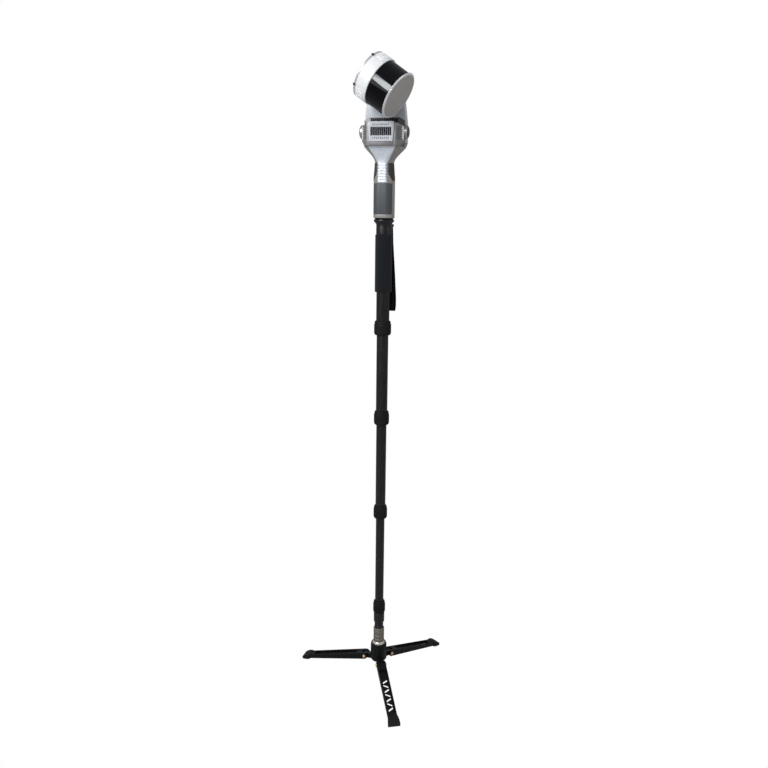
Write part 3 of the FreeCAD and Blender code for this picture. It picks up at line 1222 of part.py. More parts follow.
def build_ring_at(name, inner, outer, low, high, place):
    """Ring between two heights on the sensor's axis."""
    body = new_body(name)
    spin(body, [(inner, low), (outer, low), (outer, high), (inner, high)])
    place_in_scanner(body, place)


def build_bracket(place):
    """Bent bracket: a plate behind the sensor's base and an arm that meets the turning disc."""
    body = new_body("sensor_bracket")
    inner = "(dim.sensor_dia / 2 + dim.arm_gap)"
    plate_low = f"({BASE_LOW} - dim.plate_thick)"
    gap = "(dim.sensor_forward - dim.split_depth - dim.move_gap - dim.disc_thick)"

    def disc_plane(height):
        """Return how far back the disc's face is, at a height on the sensor's axis."""
        return f"(({gap} + {height} * sin(dim.sensor_lead * 1 deg)) / cos(dim.sensor_lead * 1 deg))"

    profile = empty_sketch(body, "YZ_Plane")
    add_outline(profile, [
        ("-dim.arm_half", plate_low),
        (disc_plane(plate_low), plate_low),
        (disc_plane("dim.arm_reach"), "dim.arm_reach"),
        (inner, "dim.arm_reach"),
        (inner, BASE_LOW),
        ("-dim.arm_half", BASE_LOW),
    ])
    raise_from(body, profile, "2 * dim.arm_half", both_ways=True)
    plate = empty_sketch(body, "XY_Plane", plate_low)
    add_circle(plate, "0", "0", "dim.sensor_dia - dim.cap_edge")
    raise_from(body, plate, "dim.plate_thick")
    tabs = empty_sketch(body, "XY_Plane", plate_low)
    for side in ("-", "+"):
        turn = f"((270 {side} dim.tab_turn) * 1 deg)"
        corners = []
        outer, inner = "dim.sensor_dia / 2 + dim.tab_proud", "dim.sensor_dia / 2 - dim.tab_width"
        for radius, edge in ((outer, 1), (outer, -1), (inner, -1), (inner, 1)):
            corners.append((f"(({radius}) * cos({turn}) - {edge} * dim.tab_width / 2 * sin({turn}))",
                            f"(({radius}) * sin({turn}) + {edge} * dim.tab_width / 2 * cos({turn}))"))
        add_outline(tabs, corners)
    raise_from(body, tabs, "dim.plate_thick")
    place_in_scanner(body, place)


# ---------------------------------------------------------------- the whole object
for label, turn_of_leg in LEG_TURNS.items():
    build_leg(f"leg_{label}", turn_of_leg)
    build_foot_pad(f"foot_pad_{label}", turn_of_leg)
build_hinge_bolts()
build_hub()
build_ball_joint()
build_end_fitting()
build_pole()
build_pole_top()
build_strap()
doc.recompute()
build_shells()
doc.recompute()
build_front_spine()
build_module()
build_heat_sink()
build_cameras()
build_inside()
build_head_drive()
build_sensor()
doc.recompute()

for item in doc.Objects:
    if "Invalid" in item.State or "Error" in item.State:
        raise RuntimeError(f"{item.Label} did not build: {item.State}")
os.makedirs("parts", exist_ok=True)
for item in parts:
    if item.Shape.isNull() or not item.Shape.isValid() or not item.Shape.Solids:
        raise RuntimeError(f"{item.Label} is not a valid solid")
    item.Shape.exportStep(f"parts/{item.Label}.step")
    box = item.Shape.BoundBox
    print(f"{item.Label:16s} solids {len(item.Shape.Solids)}  volume {item.Shape.Volume / 1000:8.2f} cm3"
          f"  z {box.ZMin:8.2f} to {box.ZMax:8.2f}")
print(len(parts), "sub-parts")
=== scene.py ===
"""Studio scene of a handheld laser scanner on a telescopic monopod with three folding feet.

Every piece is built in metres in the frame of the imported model. Piece positions come from the
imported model's boxes and joints, so the pieces follow the model when a size in it changes.
"""
import json
import logging
import math
from collections.abc import Callable, Iterable, Sequence
from dataclasses import dataclass
from enum import Enum

import bmesh
import bpy
from mathutils import Matrix, Vector

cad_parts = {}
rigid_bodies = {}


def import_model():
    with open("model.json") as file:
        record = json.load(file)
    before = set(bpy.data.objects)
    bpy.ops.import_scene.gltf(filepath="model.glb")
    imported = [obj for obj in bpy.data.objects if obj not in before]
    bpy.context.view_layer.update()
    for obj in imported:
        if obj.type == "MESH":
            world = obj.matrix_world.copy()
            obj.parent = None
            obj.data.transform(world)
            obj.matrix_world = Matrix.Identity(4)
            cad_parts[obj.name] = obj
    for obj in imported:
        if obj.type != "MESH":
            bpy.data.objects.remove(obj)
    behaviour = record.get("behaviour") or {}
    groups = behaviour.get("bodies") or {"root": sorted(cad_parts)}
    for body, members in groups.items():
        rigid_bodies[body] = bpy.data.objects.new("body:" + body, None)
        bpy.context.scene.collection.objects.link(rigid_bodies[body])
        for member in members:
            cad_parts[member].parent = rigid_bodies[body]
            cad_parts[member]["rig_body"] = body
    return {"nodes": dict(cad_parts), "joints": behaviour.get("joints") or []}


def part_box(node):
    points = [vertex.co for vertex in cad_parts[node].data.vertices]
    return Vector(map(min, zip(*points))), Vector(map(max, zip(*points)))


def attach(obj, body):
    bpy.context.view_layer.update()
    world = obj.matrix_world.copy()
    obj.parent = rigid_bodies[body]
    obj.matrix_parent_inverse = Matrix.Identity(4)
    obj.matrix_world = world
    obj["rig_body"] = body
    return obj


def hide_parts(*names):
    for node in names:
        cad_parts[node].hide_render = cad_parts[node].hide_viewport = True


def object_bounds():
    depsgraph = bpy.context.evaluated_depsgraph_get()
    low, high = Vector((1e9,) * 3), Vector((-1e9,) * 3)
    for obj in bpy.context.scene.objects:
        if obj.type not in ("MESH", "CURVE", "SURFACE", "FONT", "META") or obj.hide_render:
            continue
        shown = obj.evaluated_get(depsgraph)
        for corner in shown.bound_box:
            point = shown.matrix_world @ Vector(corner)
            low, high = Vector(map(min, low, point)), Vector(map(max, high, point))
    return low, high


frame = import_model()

CAD_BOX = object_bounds()
LOG = logging.getLogger("scene")
MM = 0.001
# Edges that turn more than this are rounded over, and stay crisp in the shading.
SHARP = math.radians(32)
# Further out than any part of the object, in metres.
FAR = 9
# An outline's corner stays as it is where its half angle is this near to nothing, or to a right angle.
SPIKE, STRAIGHT = 0.02, 0.01
# A rounded corner takes at most this share of the shorter side beside it.
RUN_SHARE = 0.46
WHITE = (1, 1, 1, 1)

BMesh = bmesh.types.BMesh
Piece = bpy.types.Object
Node = bpy.types.Node
Tree = bpy.types.NodeTree
Socket = bpy.types.NodeSocket
Points = Sequence[tuple[float, ...]]
Span = tuple[float, float]


# ------------------------------------------------------------------ finishes
class Kind(Enum):
    """The family of surface that a finish belongs to."""

    METAL = "metal"
    MOULDED = "moulded"
    RUBBER = "rubber"
    FOAM = "foam"
    CARBON = "carbon"
    WEBBING = "webbing"
    GLOSS = "gloss"


@dataclass(frozen=True)
class Finish:
    """How one kind of surface looks.

    Attributes:
        slot: Name of the record's material slot; nothing in this script reads it.
        kind: Family of surface, which picks the node groups.
        color: Base colour, linear red, green and blue.
        roughness: Middle roughness.
        metallic: 1 for bare metal.
        grain: Size of the grain, as repeats a metre.
        bump: Height of the grain's bumps, in metres.
        tint: How far the colour drifts, from 0 to 1.
        coat: Weight of a clear coat.
        shine: Strength of the mirror part of a surface that isn't bare metal; 0.5 is usual.
    """

    slot: str
    kind: Kind
    color: tuple[float, float, float]
    roughness: float
    metallic: float = 0.0
    grain: float = 900.0
    bump: float = 0.00004
    tint: float = 0.06
    coat: float = 0.0
    shine: float = 0.5


class Look(Enum):
    """Every finish on the object."""

    LEG = Finish("leg", Kind.METAL, (0.0055, 0.0055, 0.006), 0.42, grain=1400, bump=0.00001, tint=0.15,
                 shine=0.14)
    FOOT = Finish("foot_rubber", Kind.RUBBER, (0.007, 0.007, 0.007), 0.6, grain=1100, shine=0.2)
    BOLT = Finish("bolt_brass", Kind.METAL, (0.78, 0.56, 0.36), 0.24, 1.0, 700, 0.00001, 0.1)
    HUB = Finish("hub", Kind.METAL, (0.0045, 0.0048, 0.005), 0.36, grain=1500, bump=0.00001, tint=0.1,
                 shine=0.15)
    LINER = Finish("liner", Kind.MOULDED, (0.02, 0.02, 0.02), 0.5, shine=0.3)
    BALL = Finish("ball_metal", Kind.METAL, (0.55, 0.52, 0.46), 0.35, 0.4, 300, 0.000001, 0.0)
    COLLAR = Finish("collar_metal", Kind.METAL, (0.17, 0.15, 0.125), 0.45, 0.3, 900, 0.0000005, 0.02)
    FITTING = Finish("fitting", Kind.METAL, (0.010, 0.010, 0.011), 0.34, grain=1400, bump=0.00002,
                     tint=0.1, shine=0.3)
    CARBON = Finish("carbon", Kind.CARBON, (0.0075, 0.0075, 0.0072), 0.34, grain=1, bump=0.00001, tint=0.2,
                    coat=0.12, shine=0.22)
    LOCK = Finish("lock_rubber", Kind.RUBBER, (0.007, 0.007, 0.0075), 0.6, grain=1300, shine=0.15)
    FOAM = Finish("foam", Kind.FOAM, (0.0105, 0.012, 0.0145), 0.92, grain=1500, bump=0.00012, tint=0.12,
                  shine=0.1)
    NECK = Finish("neck", Kind.METAL, (0.0048, 0.0052, 0.006), 0.34, grain=1500, bump=0.000002, tint=0.05,
                  shine=0.35)
    WASHER = Finish("washer", Kind.RUBBER, (0.05, 0.05, 0.05), 0.7)
    STEEL = Finish("steel", Kind.METAL, (0.50, 0.50, 0.50), 0.3, 1.0, 900, 0.00001)
    WEBBING = Finish("webbing", Kind.WEBBING, (0.0045, 0.0045, 0.005), 0.85, grain=1, bump=0.0002,
                     tint=0.2, shine=0.1)
    SHELL = Finish("shell", Kind.MOULDED, (0.27, 0.255, 0.236), 0.38, grain=1800, bump=0.00001, tint=0.04,
                   coat=0.1)
    COLUMN = Finish("shell", Kind.MOULDED, (0.52, 0.545, 0.59), 0.42, grain=1800, bump=0.00002, tint=0.03)
    CAP_PLASTIC = Finish("cap_plastic", Kind.MOULDED, (0.03, 0.03, 0.03), 0.5)
    GRIP = Finish("grip_rubber", Kind.RUBBER, (0.060, 0.064, 0.070), 0.5, grain=1500, shine=0.4)
    INSERT = Finish("insert_rubber", Kind.RUBBER, (0.050, 0.048, 0.046), 0.66, grain=1500, shine=0.25)
    SILVER = Finish("silver", Kind.METAL, (0.60, 0.63, 0.69), 0.42, 0.2, 1800, 0.00001, 0.03)
    MODULE = Finish("module_metal", Kind.METAL, (0.215, 0.209, 0.208), 0.4, 0.2, 1600, 0.00001, 0.03)
    BAND = Finish("band", Kind.MOULDED, (0.155, 0.135, 0.137), 0.45)
    SINK = Finish("sink", Kind.METAL, (0.016, 0.016, 0.018), 0.4, grain=1200, bump=0.00002, tint=0.1,
                  shine=0.3)
    BARREL = Finish("barrel", Kind.METAL, (0.40, 0.39, 0.39), 0.3, 0.8, 800, 0.000005, 0.03)
    LENS = Finish("lens", Kind.GLOSS, (0.005, 0.005, 0.008), 0.04, tint=0.0, coat=0.6)
    BATTERY = Finish("battery", Kind.MOULDED, (0.03, 0.03, 0.03), 0.5)
    BOARD = Finish("board", Kind.MOULDED, (0.03, 0.16, 0.06), 0.5)
    # Painted shade: a near-black sheet behind the grille's tall slots, for the module's dark inside.
    SCREEN = Finish("silver", Kind.MOULDED, (0.012, 0.010, 0.013), 0.6, shine=0.2)
    SLIT = Finish("silver", Kind.METAL, (0.36, 0.37, 0.41), 0.45, 0.1, 1800, 0.00001, 0.02)
    BARS = Finish("silver", Kind.METAL, (0.10, 0.10, 0.118), 0.42, 0.3, 1800, 0.00001, 0.02)
    # A painted highlight: near-white paint on the outer ends of the module's fins.
    EDGE = Finish("module_metal", Kind.METAL, (0.86, 0.87, 0.88), 0.3, 0.1, 1500, 0.000005, 0.0)
    CHEEK = Finish("sink", Kind.METAL, (0.105, 0.10, 0.097), 0.42, 0.2, 1500, 0.00001, 0.03)
    # A painted highlight: near-white paint for the lid's rim and for the ridges on the strip below the wedge.
    PAINTED_HIGHLIGHT = Finish("sensor_lid", Kind.METAL, (0.80, 0.81, 0.83), 0.3, 0.35, 1500, 0.000005, 0.0)
    PLATE_EDGE = Finish("bracket", Kind.METAL, (0.52, 0.50, 0.52), 0.34, 0.2, 1500, 0.00001)
    GRILLE = Finish("silver", Kind.METAL, (0.42, 0.43, 0.46), 0.5, 0.1, 1800, 0.00001, 0.03)
    DARK_STEEL = Finish("steel", Kind.METAL, (0.006, 0.006, 0.007), 0.35, grain=1200, bump=0.000005,
                        shine=0.3)
    BUTTON = Finish("button", Kind.MOULDED, (0.04, 0.04, 0.04), 0.5)
    MOTOR = Finish("motor", Kind.METAL, (0.35, 0.35, 0.35), 0.4, 1.0)
    SHAFT = Finish("shaft", Kind.METAL, (0.48, 0.50, 0.54), 0.35, 0.6)
    BRACKET = Finish("bracket", Kind.METAL, (0.060, 0.055, 0.052), 0.34, 0.5, 1500, 0.00001)
    SENSOR = Finish("sensor_body", Kind.METAL, (0.86, 0.87, 0.88), 0.38, grain=1900, bump=0.00001,
                    tint=0.02, coat=0.1)
    WINDOW = Finish("window", Kind.GLOSS, (0.0015, 0.0015, 0.002), 0.05, tint=0.0, shine=0.2)
    LID = Finish("sensor_lid", Kind.METAL, (0.42, 0.40, 0.38), 0.33, 0.15, 1500, 0.00001, 0.03)
    ROTOR = Finish("rotor", Kind.MOULDED, (0.03, 0.03, 0.03), 0.5)


class NodeKit:
    """Small helper that adds and links shader nodes in one tree."""

    def __init__(self, tree: Tree) -> None:
        """Remember the tree.

        Args:
            tree: The node tree that new nodes go into.
        """
        self.tree = tree

    def add(self, kind: str, **values: object) -> Node:
        """Add a node and set its sockets.

        Args:
            kind: The node's type name.
            **values: Property values, or socket values when the name is a socket's.

        Returns:
            The new node.
        """
        node = self.tree.nodes.new(kind)
        for name, value in values.items():
            if hasattr(node, name):
                setattr(node, name, value)
            else:
                node.inputs[name.replace("_", " ")].default_value = value
        return node

    def link(self, source: Node, output: str | int, target: Node, socket: str | int) -> None:
        """Link one node's output to another node's input."""
        self.tree.links.new(source.outputs[output], target.inputs[socket])

    def feed(self, value: Socket, target: Node, socket: str | int) -> None:
        """Link an output socket to a node's input."""
        self.tree.links.new(value, target.inputs[socket])

    def math(self, operation: str, first: Socket | float, second: Socket | float | None = None) -> Socket:
        """Add a maths node fed by sockets or numbers.

        Args:
            operation: Name of the operation.
            first: A socket or a number.
            second: A socket, a number or nothing.

        Returns:
            The output socket.
        """
        node = self.tree.nodes.new("ShaderNodeMath")
        node.operation = operation
        for index, value in enumerate((first, second)):
            if value is None:
                continue
            if isinstance(value, (int, float)):
                node.inputs[index].default_value = value
            else:
                self.tree.links.new(value, node.inputs[index])
        return node.outputs[0]


class Effect(Enum):
    """An effect that several materials share, each a shader node group."""

    GRAIN = "grain"
    TINT = "tint"
    CARBON = "carbon"
    WEBBING = "webbing"
    TURNED = "turned"


class GroupShelf:
    """The shader node groups that several materials share."""

    RELIEF = (("Mask", "NodeSocketFloat"), ("Normal", "NodeSocketVector"))

    def __init__(self) -> None:
        """Start with no groups."""
        self._made: dict[Effect, Tree] = {}
        self._builders = {
            Effect.GRAIN: self._grain, Effect.TINT: self._tint, Effect.CARBON: self._carbon,
            Effect.WEBBING: self._webbing, Effect.TURNED: self._turned}

    def get(self, effect: Effect) -> Tree:
        """Return an effect's group, building it the first time.

        Args:
            effect: The effect.

        Returns:
            The node group.
        """
        if effect not in self._made:
            self._made[effect] = self._builders[effect]()
        return self._made[effect]

    @staticmethod
    def _start(effect: Effect, inputs: Iterable[tuple], outputs: Iterable[tuple]) -> tuple:
        """Make an empty group with its sockets.

        Args:
            effect: The effect, which names the group.
            inputs: A label, a socket type, and a value or None, for each input.
            outputs: A label and a socket type for each output.

        Returns:
            The group, its helper, its input node and its output node.
        """
        group = bpy.data.node_groups.new(effect.value, "ShaderNodeTree")
        for label, kind, value in inputs:
            socket = group.interface.new_socket(label, in_out="INPUT", socket_type=kind)
            if value is not None:
                socket.default_value = value
        for label, kind in outputs:
            group.interface.new_socket(label, in_out="OUTPUT", socket_type=kind)
        kit = NodeKit(group)
        return group, kit, kit.add("NodeGroupInput"), kit.add("NodeGroupOutput")

    @staticmethod
    def _uv(kit: NodeKit) -> tuple[Socket, Socket]:
        """Return the two sockets of a piece's UV, in metres: across or around, and along.

        Args:
            kit: The group's helper.

        Returns:
            The sockets.
        """
        place = kit.add("ShaderNodeTexCoord")
        apart = kit.add("ShaderNodeSeparateXYZ")
        kit.link(place, "UV", apart, 0)
        return apart.outputs[0], apart.outputs[1]

    @staticmethod
    def _emboss(kit: NodeKit, source: Node, out: Node, relief: Socket, strength: float) -> None:
        """Put a relief out as the group's mask, and as a normal that it bumps.

        Args:
            kit: The group's helper.
            source: The group's input node, with the relief's height.
            out: The group's output node.
            relief: The relief.
            strength: How strongly it bumps.
        """
        bump = kit.add("ShaderNodeBump", Strength=strength)
        kit.link(source, "Height", bump, "Distance")
        kit.feed(relief, bump, "Height")
        kit.feed(relief, out, "Mask")
        kit.link(bump, "Normal", out, "Normal")

    def _grain(self) -> Tree:
        """Return fine moulded or blasted grain in object space."""
        group, kit, source, out = self._start(
            Effect.GRAIN, [("Scale", "NodeSocketFloat", 900.0), ("Height", "NodeSocketFloat", 0.00004)],
            self.RELIEF)
        place = kit.add("ShaderNodeTexCoord")
        noise = kit.add("ShaderNodeTexNoise", Detail=3.0, Roughness=0.6)
        kit.link(place, "Object", noise, "Vector")
        kit.link(source, "Scale", noise, "Scale")
        self._emboss(kit, source, out, noise.outputs[0], 1.0)
        return group

    def _tint(self) -> Tree:
        """Return a slow drift of a colour's brightness in object space."""
        group, kit, source, out = self._start(
            Effect.TINT, [("Color", "NodeSocketColor", None), ("Amount", "NodeSocketFloat", 0.05)],
            [("Color", "NodeSocketColor"), ("Mask", "NodeSocketFloat")])
        gain = 4.0
        place = kit.add("ShaderNodeTexCoord")
        noise = kit.add("ShaderNodeTexNoise", Scale=38.0, Detail=4.0, Roughness=0.65)
        kit.link(place, "Object", noise, "Vector")
        swing = kit.math("SUBTRACT", noise.outputs[0], 0.5)
        scaled = kit.math("MULTIPLY", swing, source.outputs["Amount"])
        value = kit.math("ADD", kit.math("MULTIPLY", scaled, gain), 1.0)
        shade = kit.add("ShaderNodeHueSaturation")
        kit.link(source, "Color", shade, "Color")
        kit.feed(value, shade, "Value")
        kit.link(shade, 0, out, "Color")
        kit.link(noise, 0, out, "Mask")
        return group

    def _carbon(self) -> Tree:
        """Return wrapped carbon cloth: long streaks along the tube and a fine slanting weave."""
        group, kit, source, out = self._start(
            Effect.CARBON, [("Height", "NodeSocketFloat", 0.00002)], self.RELIEF)
        streaks_around, streaks_along, thread_turn, weave_share = 420.0, 26.0, 2600.0, 0.12
        around, along = self._uv(kit)
        streak = kit.add("ShaderNodeTexNoise", Scale=1.0, Detail=3.0, Roughness=0.6)
        stretch = kit.add("ShaderNodeCombineXYZ")
        kit.feed(kit.math("MULTIPLY", around, streaks_around), stretch, 0)
        kit.feed(kit.math("MULTIPLY", along, streaks_along), stretch, 1)
        kit.link(stretch, 0, streak, "Vector")
        first = kit.math("MULTIPLY", around, thread_turn)
        second = kit.math("MULTIPLY", along, thread_turn)
        slant, cross = kit.math("ADD", first, second), kit.math("SUBTRACT", first, second)
        weave = kit.math("MULTIPLY", kit.math("SINE", slant), kit.math("SINE", cross))
        lifted = kit.math("ADD", kit.math("MULTIPLY", weave, weave_share), streak.outputs[0])
        self._emboss(kit, source, out, lifted, 0.6)
        return group

    def _webbing(self) -> Tree:
        """Return ribbed webbing: crowned yarns in slanting rows."""
        group, kit, source, out = self._start(
            Effect.WEBBING, [("Height", "NodeSocketFloat", 0.0002)], self.RELIEF)
        rib_turn, yarn_turn, slant_turn, row_width = 2100.0, 3600.0, 2600.0, 0.0030
        across, along = self._uv(kit)
        rib = kit.math("ABSOLUTE", kit.math("SINE", kit.math("MULTIPLY", across, rib_turn)))
        zigzag = kit.math("PINGPONG", across, row_width)
        slanted = kit.math("MULTIPLY", zigzag, slant_turn)
        yarn = kit.math("ADD", kit.math("MULTIPLY", along, yarn_turn), slanted)
        crown = kit.math("ABSOLUTE", kit.math("SINE", yarn))
        cloth = kit.math("MULTIPLY", kit.math("ADD", rib, 0.4), kit.math("ADD", crown, 0.3))
        self._emboss(kit, source, out, cloth, 0.9)
        return group

    def _turned(self) -> Tree:
        """Return the fine rings that a lathe leaves, along a piece's outline."""
        group, kit, source, out = self._start(
            Effect.TURNED, [("Height", "NodeSocketFloat", 0.0000004)], self.RELIEF)
        rings_along, drift_around = 900.0, 4.0
        around, along = self._uv(kit)
        ring = kit.add("ShaderNodeCombineXYZ")
        kit.feed(kit.math("MULTIPLY", along, rings_along), ring, 1)
        kit.feed(kit.math("MULTIPLY", around, drift_around), ring, 0)
        noise = kit.add("ShaderNodeTexNoise", Scale=1.0, Detail=2.0)
        kit.link(ring, 0, noise, "Vector")
        self._emboss(kit, source, out, noise.outputs[0], 0.5)
        return group


class MaterialBook:
    """Builds each finish's material once."""

    COAT_ROUGHNESS = 0.12
    SHEEN, SHEEN_ROUGHNESS = 0.12, 0.5
    SPREAD, GLOSS_SPREAD = 0.16, 0.03

    def __init__(self) -> None:
        """Start with no materials."""
        self.shelf = GroupShelf()
        self._made: dict[tuple[Look, bool], bpy.types.Material] = {}

    def get(self, look: Look, turned: bool = False) -> bpy.types.Material:
        """Return the material for a look.

        Args:
            look: The finish to show.
            turned: Whether the piece carries lathe rings in its UV.

        Returns:
            The material.
        """
        key = (look, turned)
        if key not in self._made:
            self._made[key] = self._build(look, turned)
        return self._made[key]

    def _build(self, look: Look, turned: bool) -> bpy.types.Material:
        """Build one material's node tree.

        Args:
            look: The finish to show.
            turned: Whether it has lathe rings.

        Returns:
            The material.
        """
        finish = look.value
        name = f"{look.name.lower()}{'_turned' if turned else ''}"
        material = bpy.data.materials.new(name)
        material.use_nodes = True
        material.diffuse_color = (*finish.color, 1)
        kit = NodeKit(material.node_tree)
        shader = material.node_tree.nodes["Principled BSDF"]
        shader.inputs["Metallic"].default_value = finish.metallic
        shader.inputs["Specular IOR Level"].default_value = finish.shine
        shader.inputs["Coat Weight"].default_value = finish.coat
        shader.inputs["Coat Roughness"].default_value = self.COAT_ROUGHNESS
        tint = kit.add("ShaderNodeGroup", node_tree=self.shelf.get(Effect.TINT))
        tint.inputs["Color"].default_value = (*finish.color, 1)
        tint.inputs["Amount"].default_value = finish.tint
        detail = self._detail(kit, finish, turned)
        spread = self.GLOSS_SPREAD if finish.kind is Kind.GLOSS else self.SPREAD
        rough = kit.add("ShaderNodeMapRange", To_Min=finish.roughness - spread / 2,
                        To_Max=finish.roughness + spread)
        kit.link(detail or tint, "Mask", rough, "Value")
        kit.link(rough, 0, shader, "Roughness")
        if detail is not None:
            kit.link(detail, "Normal", shader, "Normal")
        if finish.kind in (Kind.CARBON, Kind.WEBBING):
            self._paint_relief_sheen(kit, finish, tint, detail, shader)
        else:
            kit.link(tint, "Color", shader, "Base Color")
        if finish.kind is Kind.FOAM:
            shader.inputs["Sheen Weight"].default_value = self.SHEEN
            shader.inputs["Sheen Roughness"].default_value = self.SHEEN_ROUGHNESS
        return material

    def _detail(self, kit: NodeKit, finish: Finish, turned: bool) -> Node | None:
        """Add the group that gives the surface its relief.

        Args:
            kit: The material's helper.
            finish: The finish to show.
            turned: Whether it has lathe rings.

        Returns:
            The group's node, or None on a glossy surface.
        """
        if finish.kind is Kind.GLOSS:
            return None
        plain = Effect.TURNED if turned else Effect.GRAIN
        effect = {Kind.CARBON: Effect.CARBON, Kind.WEBBING: Effect.WEBBING}.get(finish.kind, plain)
        node = kit.add("ShaderNodeGroup", node_tree=self.shelf.get(effect))
        if effect is Effect.GRAIN:
            node.inputs["Scale"].default_value = finish.grain
        if effect is not Effect.TURNED:
            node.inputs["Height"].default_value = finish.bump
        return node

    @staticmethod
    def _paint_relief_sheen(kit: NodeKit, finish: Finish, tint: Node, detail: Node, shader: Node) -> None:
        """Paint the weave's relief into its colour: lighter on its raised threads and fibres as painted
        sheen, darker between them as painted shade.

        Args:
            kit: The material's helper.
            finish: The finish to show.
            tint: The node with the drifting colour.
            detail: The node with the weave's relief.
            shader: The shader that gets the colour.
        """
        # The painted sheen: a lighter copy of the finish's colour, laid where the relief stands high.
        light = tuple(min(1.0, channel * 2.6 + 0.002) for channel in finish.color)
        mix = kit.add("ShaderNodeMix", data_type="RGBA")
        strength = kit.add("ShaderNodeMapRange", From_Min=0.45, From_Max=0.8)
        kit.link(detail, "Mask", strength, "Value")
        kit.feed(strength.outputs[0], mix, 0)
        kit.link(tint, "Color", mix, 6)
        mix.inputs[7].default_value = (*light, 1)
        kit.feed(mix.outputs[2], shader, "Base Color")


BOOK = MaterialBook()


# ------------------------------------------------------------------ mesh tools
def joint_of(name: str) -> dict:
    """Return a joint's entry by name."""
    return next(joint for joint in frame["joints"] if joint["name"] == name)


def body_of_node(node: str) -> str:
    """Return the name of the body that a CAD node is part of."""
    return frame["nodes"][node]["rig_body"]


def soft_corners(outline: Points, radius: float, steps: int = 4) -> list[Span]:
    """Round the corners of a flat closed outline.

    Args:
        outline: Points as (across, along) or (across, along, own radius).
        radius: Radius used where a point has none of its own.
        steps: Points on each rounded corner, less one.

    Returns:
        A list of (across, along) points.
    """
    rounded = []
    count = len(outline)
    for index, point in enumerate(outline):
        here = Vector(point[:2])
        wanted = point[2] if len(point) > 2 else radius
        before = Vector(outline[index - 1][:2]) - here
        after = Vector(outline[(index + 1) % count][:2]) - here
        half = before.angle(after) / 2
        if half < SPIKE or half > math.pi / 2 - STRAIGHT:
            rounded.append(tuple(here))
            continue
        reach = min(wanted / math.tan(half), before.length * RUN_SHARE, after.length * RUN_SHARE)
        start = here + before.normalized() * reach
        end = here + after.normalized() * reach
        for step in range(steps + 1):
            share = step / steps
            rounded.append(tuple(start.lerp(here, share).lerp(here.lerp(end, share), share)))
    return rounded


def even_loop(points: Points, spacing: float) -> list[Span]:
    """Return a closed line's points at even steps along it.

    Args:
        points: Two-number points.
        spacing: The wanted distance between new points.

    Returns:
        The evenly spaced points.
    """
    closed = [Vector(point) for point in points] + [Vector(points[0])]
    runs = [0.0]
    for first, second in zip(closed, closed[1:]):
        runs.append(runs[-1] + (second - first).length)
    count = int(runs[-1] / spacing)
    line = []
    index = 0
    for step in range(count):
        wanted = runs[-1] * step / count
        while runs[index + 1] < wanted:
            index += 1
        share = (wanted - runs[index]) / max(1e-9, runs[index + 1] - runs[index])
        line.append(tuple(closed[index].lerp(closed[index + 1], share)))
    return line


def mark_sharp(work: BMesh) -> None:
    """Smooth every face and keep the edges that turn more than the sharp angle.

    Args:
        work: The bmesh.
    """
    for face in work.faces:
        face.smooth = True
    for edge in work.edges:
        if len(edge.link_faces) == 2:
            edge.smooth = edge.calc_face_angle(0) < SHARP


def make_piece(name: str, work: BMesh, look: Look, body: str, nodes: Sequence[str] = (),
               turned: bool = False) -> Piece:
    """Turn a bmesh into a piece of the object.

    Args:
        name: The piece's name.
        work: The bmesh, which is freed.
        look: The finish it shows.
        body: The body it rides on.
        nodes: The CAD nodes it replaces.
        turned: Whether it carries lathe rings.

    Returns:
        The new object.
    """
    bmesh.ops.recalc_face_normals(work, faces=work.faces)
    mark_sharp(work)
    mesh = bpy.data.meshes.new(name)
    work.to_mesh(mesh)
    work.free()
    mesh.materials.append(BOOK.get(look, turned))
    piece = bpy.data.objects.new(name, mesh)
    bpy.context.scene.collection.objects.link(piece)
    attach(piece, body)
    if nodes:
        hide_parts(*nodes)
    LOG.info("%s is made", name)
    return piece


def add_lathe(work: BMesh, profile: Points, place: Matrix, segments: int = 72,
              shape: Callable[[float, float, float], float] | None = None) -> None:
    """Add a turned solid to a bmesh, with UV in metres.

    Args:
        work: The bmesh.
        profile: Closed (radius, height) outline in metres; points on the axis have radius 0.
        place: Matrix from the lathe's frame, with its axis along Z.
        segments: Faces around.
        shape: Function of (radius, height, angle) giving a new radius, or None.
    """
    uv = work.loops.layers.uv.verify()
    widest = max(radius for radius, _ in profile)
    rings = []
    for radius, height in profile:
        if radius < 1e-7:
            rings.append([work.verts.new(place @ Vector((0, 0, height)))])
            continue
        ring = []
        for step in range(segments):
            angle = math.tau * step / segments
            wide = shape(radius, height, angle) if shape else radius
            spot = Vector((wide * math.cos(angle), wide * math.sin(angle), height))
            ring.append(work.verts.new(place @ spot))
        rings.append(ring)
    run = 0.0
    for index, ring in enumerate(rings):
        following = rings[(index + 1) % len(rings)]
        first, second = Vector(profile[index]), Vector(profile[(index + 1) % len(profile)])
        length = (second - first).length
        if len(ring) == 1 and len(following) == 1:
            continue
        for step in range(segments):
            after = (step + 1) % segments
            low = [ring[step % len(ring)], ring[after % len(ring)]]
            high = [following[after % len(following)], following[step % len(following)]]
            corners = list(dict.fromkeys(low + high))
            if len(corners) < 3:
                continue
            face = work.faces.new(corners)
            spots = {low[0]: (step, run), low[1]: (step + 1, run), high[0]: (step + 1, run + length),
                     high[1]: (step, run + length)}
            for loop in face.loops:
                turn, along = spots[loop.vert]
                loop[uv].uv = (turn / segments * math.tau * widest, along)
        run += length


